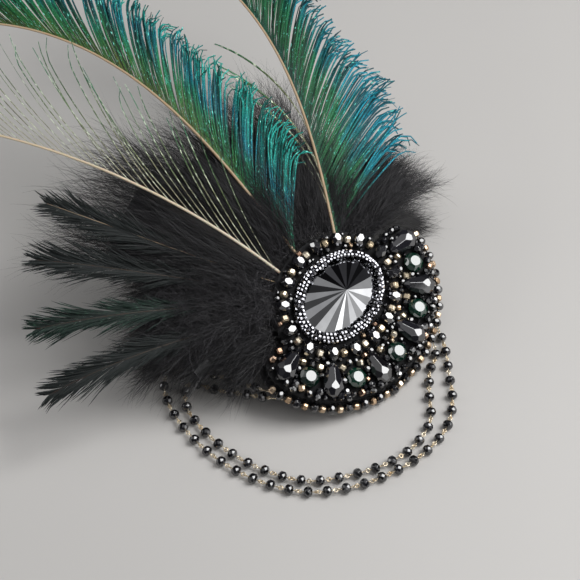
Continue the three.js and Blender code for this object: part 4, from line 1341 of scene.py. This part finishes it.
def under_quills(shape, room=1.2, slope=0.9):
    """Presses down whatever covers a quill: seen square to the felts, a point may rise no higher
    than a valley along the quill, which starts room below it and climbs with the distance. The
    middle quill dips under its cover of down before it reaches the felts."""
    for name, first, cover in (("middle", 32, 5), ("left", 10, 0), ("right", 10, 0)):
        line = quill_course(SWORDS[name]).at(np.linspace(first, 125, 48))
        line[:10, 2] += cover * np.linspace(1, 0, 10)
        points = shape.points
        for part in np.array_split(np.arange(len(points)), 1 + len(points) // 20000):
            gaps = np.hypot(points[part, None, 0] - line[:, 0], points[part, None, 1] - line[:, 1])
            nearest = gaps.argmin(1)
            level = line[nearest, 2] - room + slope * gaps.min(1)
            points[part, 2] = np.where(gaps.min(1) < 9, np.minimum(points[part, 2], level),
                                       points[part, 2])
    return shape


# Spread of the loose down over each tuft: first and last heading, reach, sink and bend. Its
# pile rises off the felts by pile, from low to high between two headings.
FANS = {
    "left": dict(headings=(122, 161), reach=92, sink=18, bend=0, pile=5.0, low=128, high=148),
    "middle": dict(headings=(70, 126), reach=92, sink=26, bend=0, pile=1.5, low=0, high=1),
    "right": dict(headings=(20, 68), reach=90, sink=20, bend=-8, pile=2.5, low=60, high=40),
}
# Down that hangs under each tuft, between its locks, to the floor
SKIRTS = {
    "left": dict(headings=(128, 156), reach=76, sink=34, bend=0, pile=0.5, low=0, high=1),
    "middle": dict(headings=(76, 124), reach=66, sink=52, bend=0, pile=0.5, low=0, high=1),
    "right": dict(headings=(22, 62), reach=74, sink=42, bend=-8, pile=0.5, low=0, high=1),
}
# Short down that covers the chains' left ends beside the felts
SIDE = dict(headings=(157, 182), reach=57, sink=8, bend=0, pile=2.0, low=0, high=1)
# Long thin down behind the quills
BACKS = [
    dict(headings=(101, 133), reach=122, sink=20, bend=0, pile=0.6, low=0, high=1),
    dict(headings=(60, 103), reach=112, sink=24, bend=0, pile=0.6, low=0, high=1),
]


def fan_place(fan, heading, share, height):
    """A place in a tuft's fan: out from the felt's edge by the share of its reach, bent
    sideways with the share, sunk with its square, and raised by a height off the felts."""
    edge = edge_reach(heading) - 1.5
    turn = heading + np.radians(fan["bend"]) * share
    away = edge + (fan["reach"] - edge) * share
    place = np.stack([away * np.cos(turn), away * np.sin(turn), DOWN_TOP + height], -1)
    return place + DOWN * (fan["sink"] * share ** 2)[..., None]


def fan_shade_core(fan):
    """Painted shade inside a fan of down, a dark body: at each share of its reach an oval that
    spans its headings, thin at the felts and at the tips, with slow lumps."""
    share = np.linspace(0.06, 0.72, 16)[:, None]
    angle = 2 * np.pi * np.arange(36)[None] / 36
    first, last = np.radians(fan["headings"])
    half = (last - first) / 2 * (1 - 0.25 * share)
    heading = (first + last) / 2 + half * np.cos(angle)
    lumps = 1 + 0.3 * np.sin(7 * heading * 3 + 4 * share) * np.sin(9 * share + 5 * heading)
    thick = np.interp(share, [0, 0.3, 0.6, 0.75], [0.8, 3.6, 3.0, 0.6]) * lumps
    points = fan_place(fan, heading, np.broadcast_to(share, heading.shape),
                       -thick + thick * np.sin(angle))
    ends = np.stack([np.arange(36), np.arange(36)[::-1] + 15 * 36])
    # Along and tint of nought give the down's blackest colour, as painted shade
    return Shape(points, [grid_faces(16, 36, close_columns=True)[:, ::-1], ends],
                 along=0.0, tint=0.0)


def fan_down(fan, count, rng, shortest=9, longest=27, segments=5):
    """Loose down over a fan: fibres lie outwards within thirty degrees or so of their heading,
    rise off the pile and curl back."""
    degrees = rng.uniform(*fan["headings"], count)
    heading = np.radians(degrees)
    share = rng.beta(1.2, 1.6, count) * 0.9
    pile = 0.5 + fan["pile"] * ease((degrees - fan["low"]) / (fan["high"] - fan["low"]))
    pile = pile * np.interp(share, [0, 0.12, 0.5, 1], [0.55, 1, 0.5, 0.2])
    root = fan_place(fan, heading, share, rng.uniform(-0.6, 1, count) * pile)
    ahead = unit(fan_place(fan, heading, share + 0.02, 0 * share)
                 - fan_place(fan, heading, share, 0 * share))
    aside = unit(np.cross(Z, ahead))
    rise = np.cross(ahead, aside)
    swing = rng.normal(0, 0.42, (count, 1))
    start = ahead + aside * swing + rise * rng.uniform(-0.15, 0.5, (count, 1))
    bends = (-aside * swing * rng.uniform(0.2, 1.4, (count, 1))
             + aside * rng.normal(0, 0.45, (count, 1)) - rise * rng.uniform(-0.1, 0.6, (count, 1)))
    length = rng.uniform(shortest, longest, count) * (1.1 - 0.4 * share)
    tint = np.clip(rng.normal(0.3, 0.2, count), 0, 1)
    return fibres(root, unit(start), bends, length, 0.15, segments, rng, tint)


def fan_frizz(fan, count, rng):
    """Short hairs on top of a fan's pile, greyer with more painted sheen, which lie every way
    across the rest.
    """
    degrees = rng.uniform(*fan["headings"], count)
    share = rng.beta(1.3, 1.7, count) * 0.85
    pile = 0.4 + fan["pile"] * ease((degrees - fan["low"]) / (fan["high"] - fan["low"]))
    root = fan_place(fan, np.radians(degrees), share, pile * rng.uniform(0.6, 1.5, count))
    ahead = unit(root * [1, 1, 0])
    start = unit(ahead * 0.7 + rng.normal(0, 0.6, (count, 3)) * [1, 1, 0.5])
    length = rng.uniform(5, 15, count)
    # A higher tint gives these top hairs more of the down's painted sheen
    return fibres(root, start, rng.normal(0, 1.1, (count, 3)), length, 0.17, 3, rng,
                  rng.uniform(0.4, 1, count))


down = down_finish()
FIBRES_PER_LOCK = 800
FIBRES_PER_FAN = 8000
FIBRES_PER_SKIRT = 3200
FIBRES_BESIDE = 2200
FIBRES_PER_BACK = 6500
FRIZZ = {"left": 5500, "middle": 2500, "right": 2000}
for number, (name, locks) in enumerate(TUFTS.items()):
    rng = np.random.default_rng(51 + number)
    fan = FANS[name]
    # Dark cores as painted shade inside the locks and the fan, then the fibres
    shapes = [lock_shade_core(lock) for lock in locks] + [fan_shade_core(fan)]
    shapes += [lock_fibres(lock, FIBRES_PER_LOCK, rng) for lock in locks]
    shapes.append(fan_down(SKIRTS[name], FIBRES_PER_SKIRT, rng, 18, 42, 4))
    shapes += [fan_down(fan, FIBRES_PER_FAN, rng), fan_frizz(fan, FRIZZ[name], rng)]
    if name == "left":
        shapes.append(fan_down(SIDE, FIBRES_BESIDE, rng, 10, 23, 4))
    add_piece(f"marabou_down_{name}", [under_quills(s).moved(LEAN).rested() for s in shapes], down,
              "black_down", [f"marabou_{name}"])
for number, fan in enumerate(BACKS):
    rng = np.random.default_rng(55 + number)
    # A dark core as painted shade inside the long down, then its fibres
    shapes = [fan_shade_core(fan), fan_down(fan, FIBRES_PER_BACK, rng, 16, 42, 6)]
    add_piece(f"long_down_{number + 1}", [under_quills(s).moved(LEAN).rested() for s in shapes],
              down, "black_down")


# Hackles

HACKLE_LENGTH = 104.0
HACKLE_ROOT = 20.0
HACKLE_SAG = 8.0
HACKLES = [(129, -6), (138, -4), (148, -1), (158, 1)]
HACKLE_PLACES = [0, 0.28, 0.5, 0.68, 0.88, 1]
HACKLE_WIDTHS = [0.16, 0.3, 0.85, 1, 0.62, 0.08]


def hackle_course(number):
    """A hackle's shaft: straight out at its heading, turned by its bend and sunk with the cube
    of the share."""
    heading, bend = np.radians(HACKLES[number])
    share = np.linspace(0, 1, 13)
    turn = heading + bend * share
    start = np.array([HACKLE_ROOT * np.cos(heading), HACKLE_ROOT * np.sin(heading), QUILL_LEVEL])
    out = np.stack([np.cos(turn), np.sin(turn), 0 * turn], -1) * (HACKLE_LENGTH * share)[:, None]
    sag = HACKLE_SAG * share ** 3 * (1 + 0.2 * number)
    return Course(start + out + DOWN * sag[:, None], fine=12)


def hackle_barbs(number):
    """Fine barbs on both sides of a hackle's shaft, as long as its outline asks for."""
    rng = np.random.default_rng(61 + number)
    course = hackle_course(number)
    made = []
    for side in (1, -1):
        starts = np.linspace(0.2 * course.length, course.length - 1, 260)
        share = starts / course.length
        lengths = 3 + 21 * np.interp(share, HACKLE_PLACES, HACKLE_WIDTHS)
        lengths = lengths * rng.uniform(0.55, 1.15, len(starts))
        made.append(barbs(course, starts, lengths, 13, 19, 0.03, 0.36, rng, side=side, clump=5,
                          pull=0.5, hook=(0, 9), spread=6, segments=7, tip_width=0.15, wave=1.0))
    return made


# The colour after each list of stops is that of the painted glints, the number after it where they
# start
black_barbs = barb_finish("black_hackle", [
    (0.0, (0.010, 0.010, 0.011)), (0.5, (0.012, 0.014, 0.014)), (1.0, (0.018, 0.021, 0.021)),
], (0.04, 0.045, 0.045), 0.70, 0.15, 0.4, gaps=0.1)
sheen_barbs = barb_finish("green_black_hackle", [
    (0.0, (0.012, 0.014, 0.013)), (0.5, (0.015, 0.038, 0.026)), (1.0, (0.022, 0.060, 0.042)),
], (0.06, 0.16, 0.10), 0.66, 0.3, 0.32, gaps=0.1)
for number in range(len(HACKLES)):
    add_piece(f"hackle_barbs_{number + 1}", [s.moved(LEAN).rested() for s in hackle_barbs(number)],
              sheen_barbs if number == 2 else black_barbs, "black_hackle",
              [f"hackle_{number + 1}"], smooth=True)
pale_shaft, *dark_shafts = [shaft(hackle_course(n), 0.28, 0.35, 40, 6).moved(LEAN).rested()
                            for n in range(len(HACKLES))]
brown = quill_finish("brown_quill", (0.10, 0.065, 0.04), (0.05, 0.035, 0.025))
add_piece("pale_hackle_shaft", [pale_shaft], tan, "black_hackle", smooth=True)
add_piece("dark_hackle_shafts", dark_shafts, brown, "black_hackle", smooth=True)


bpy.context.scene.view_settings.view_transform = "Standard"
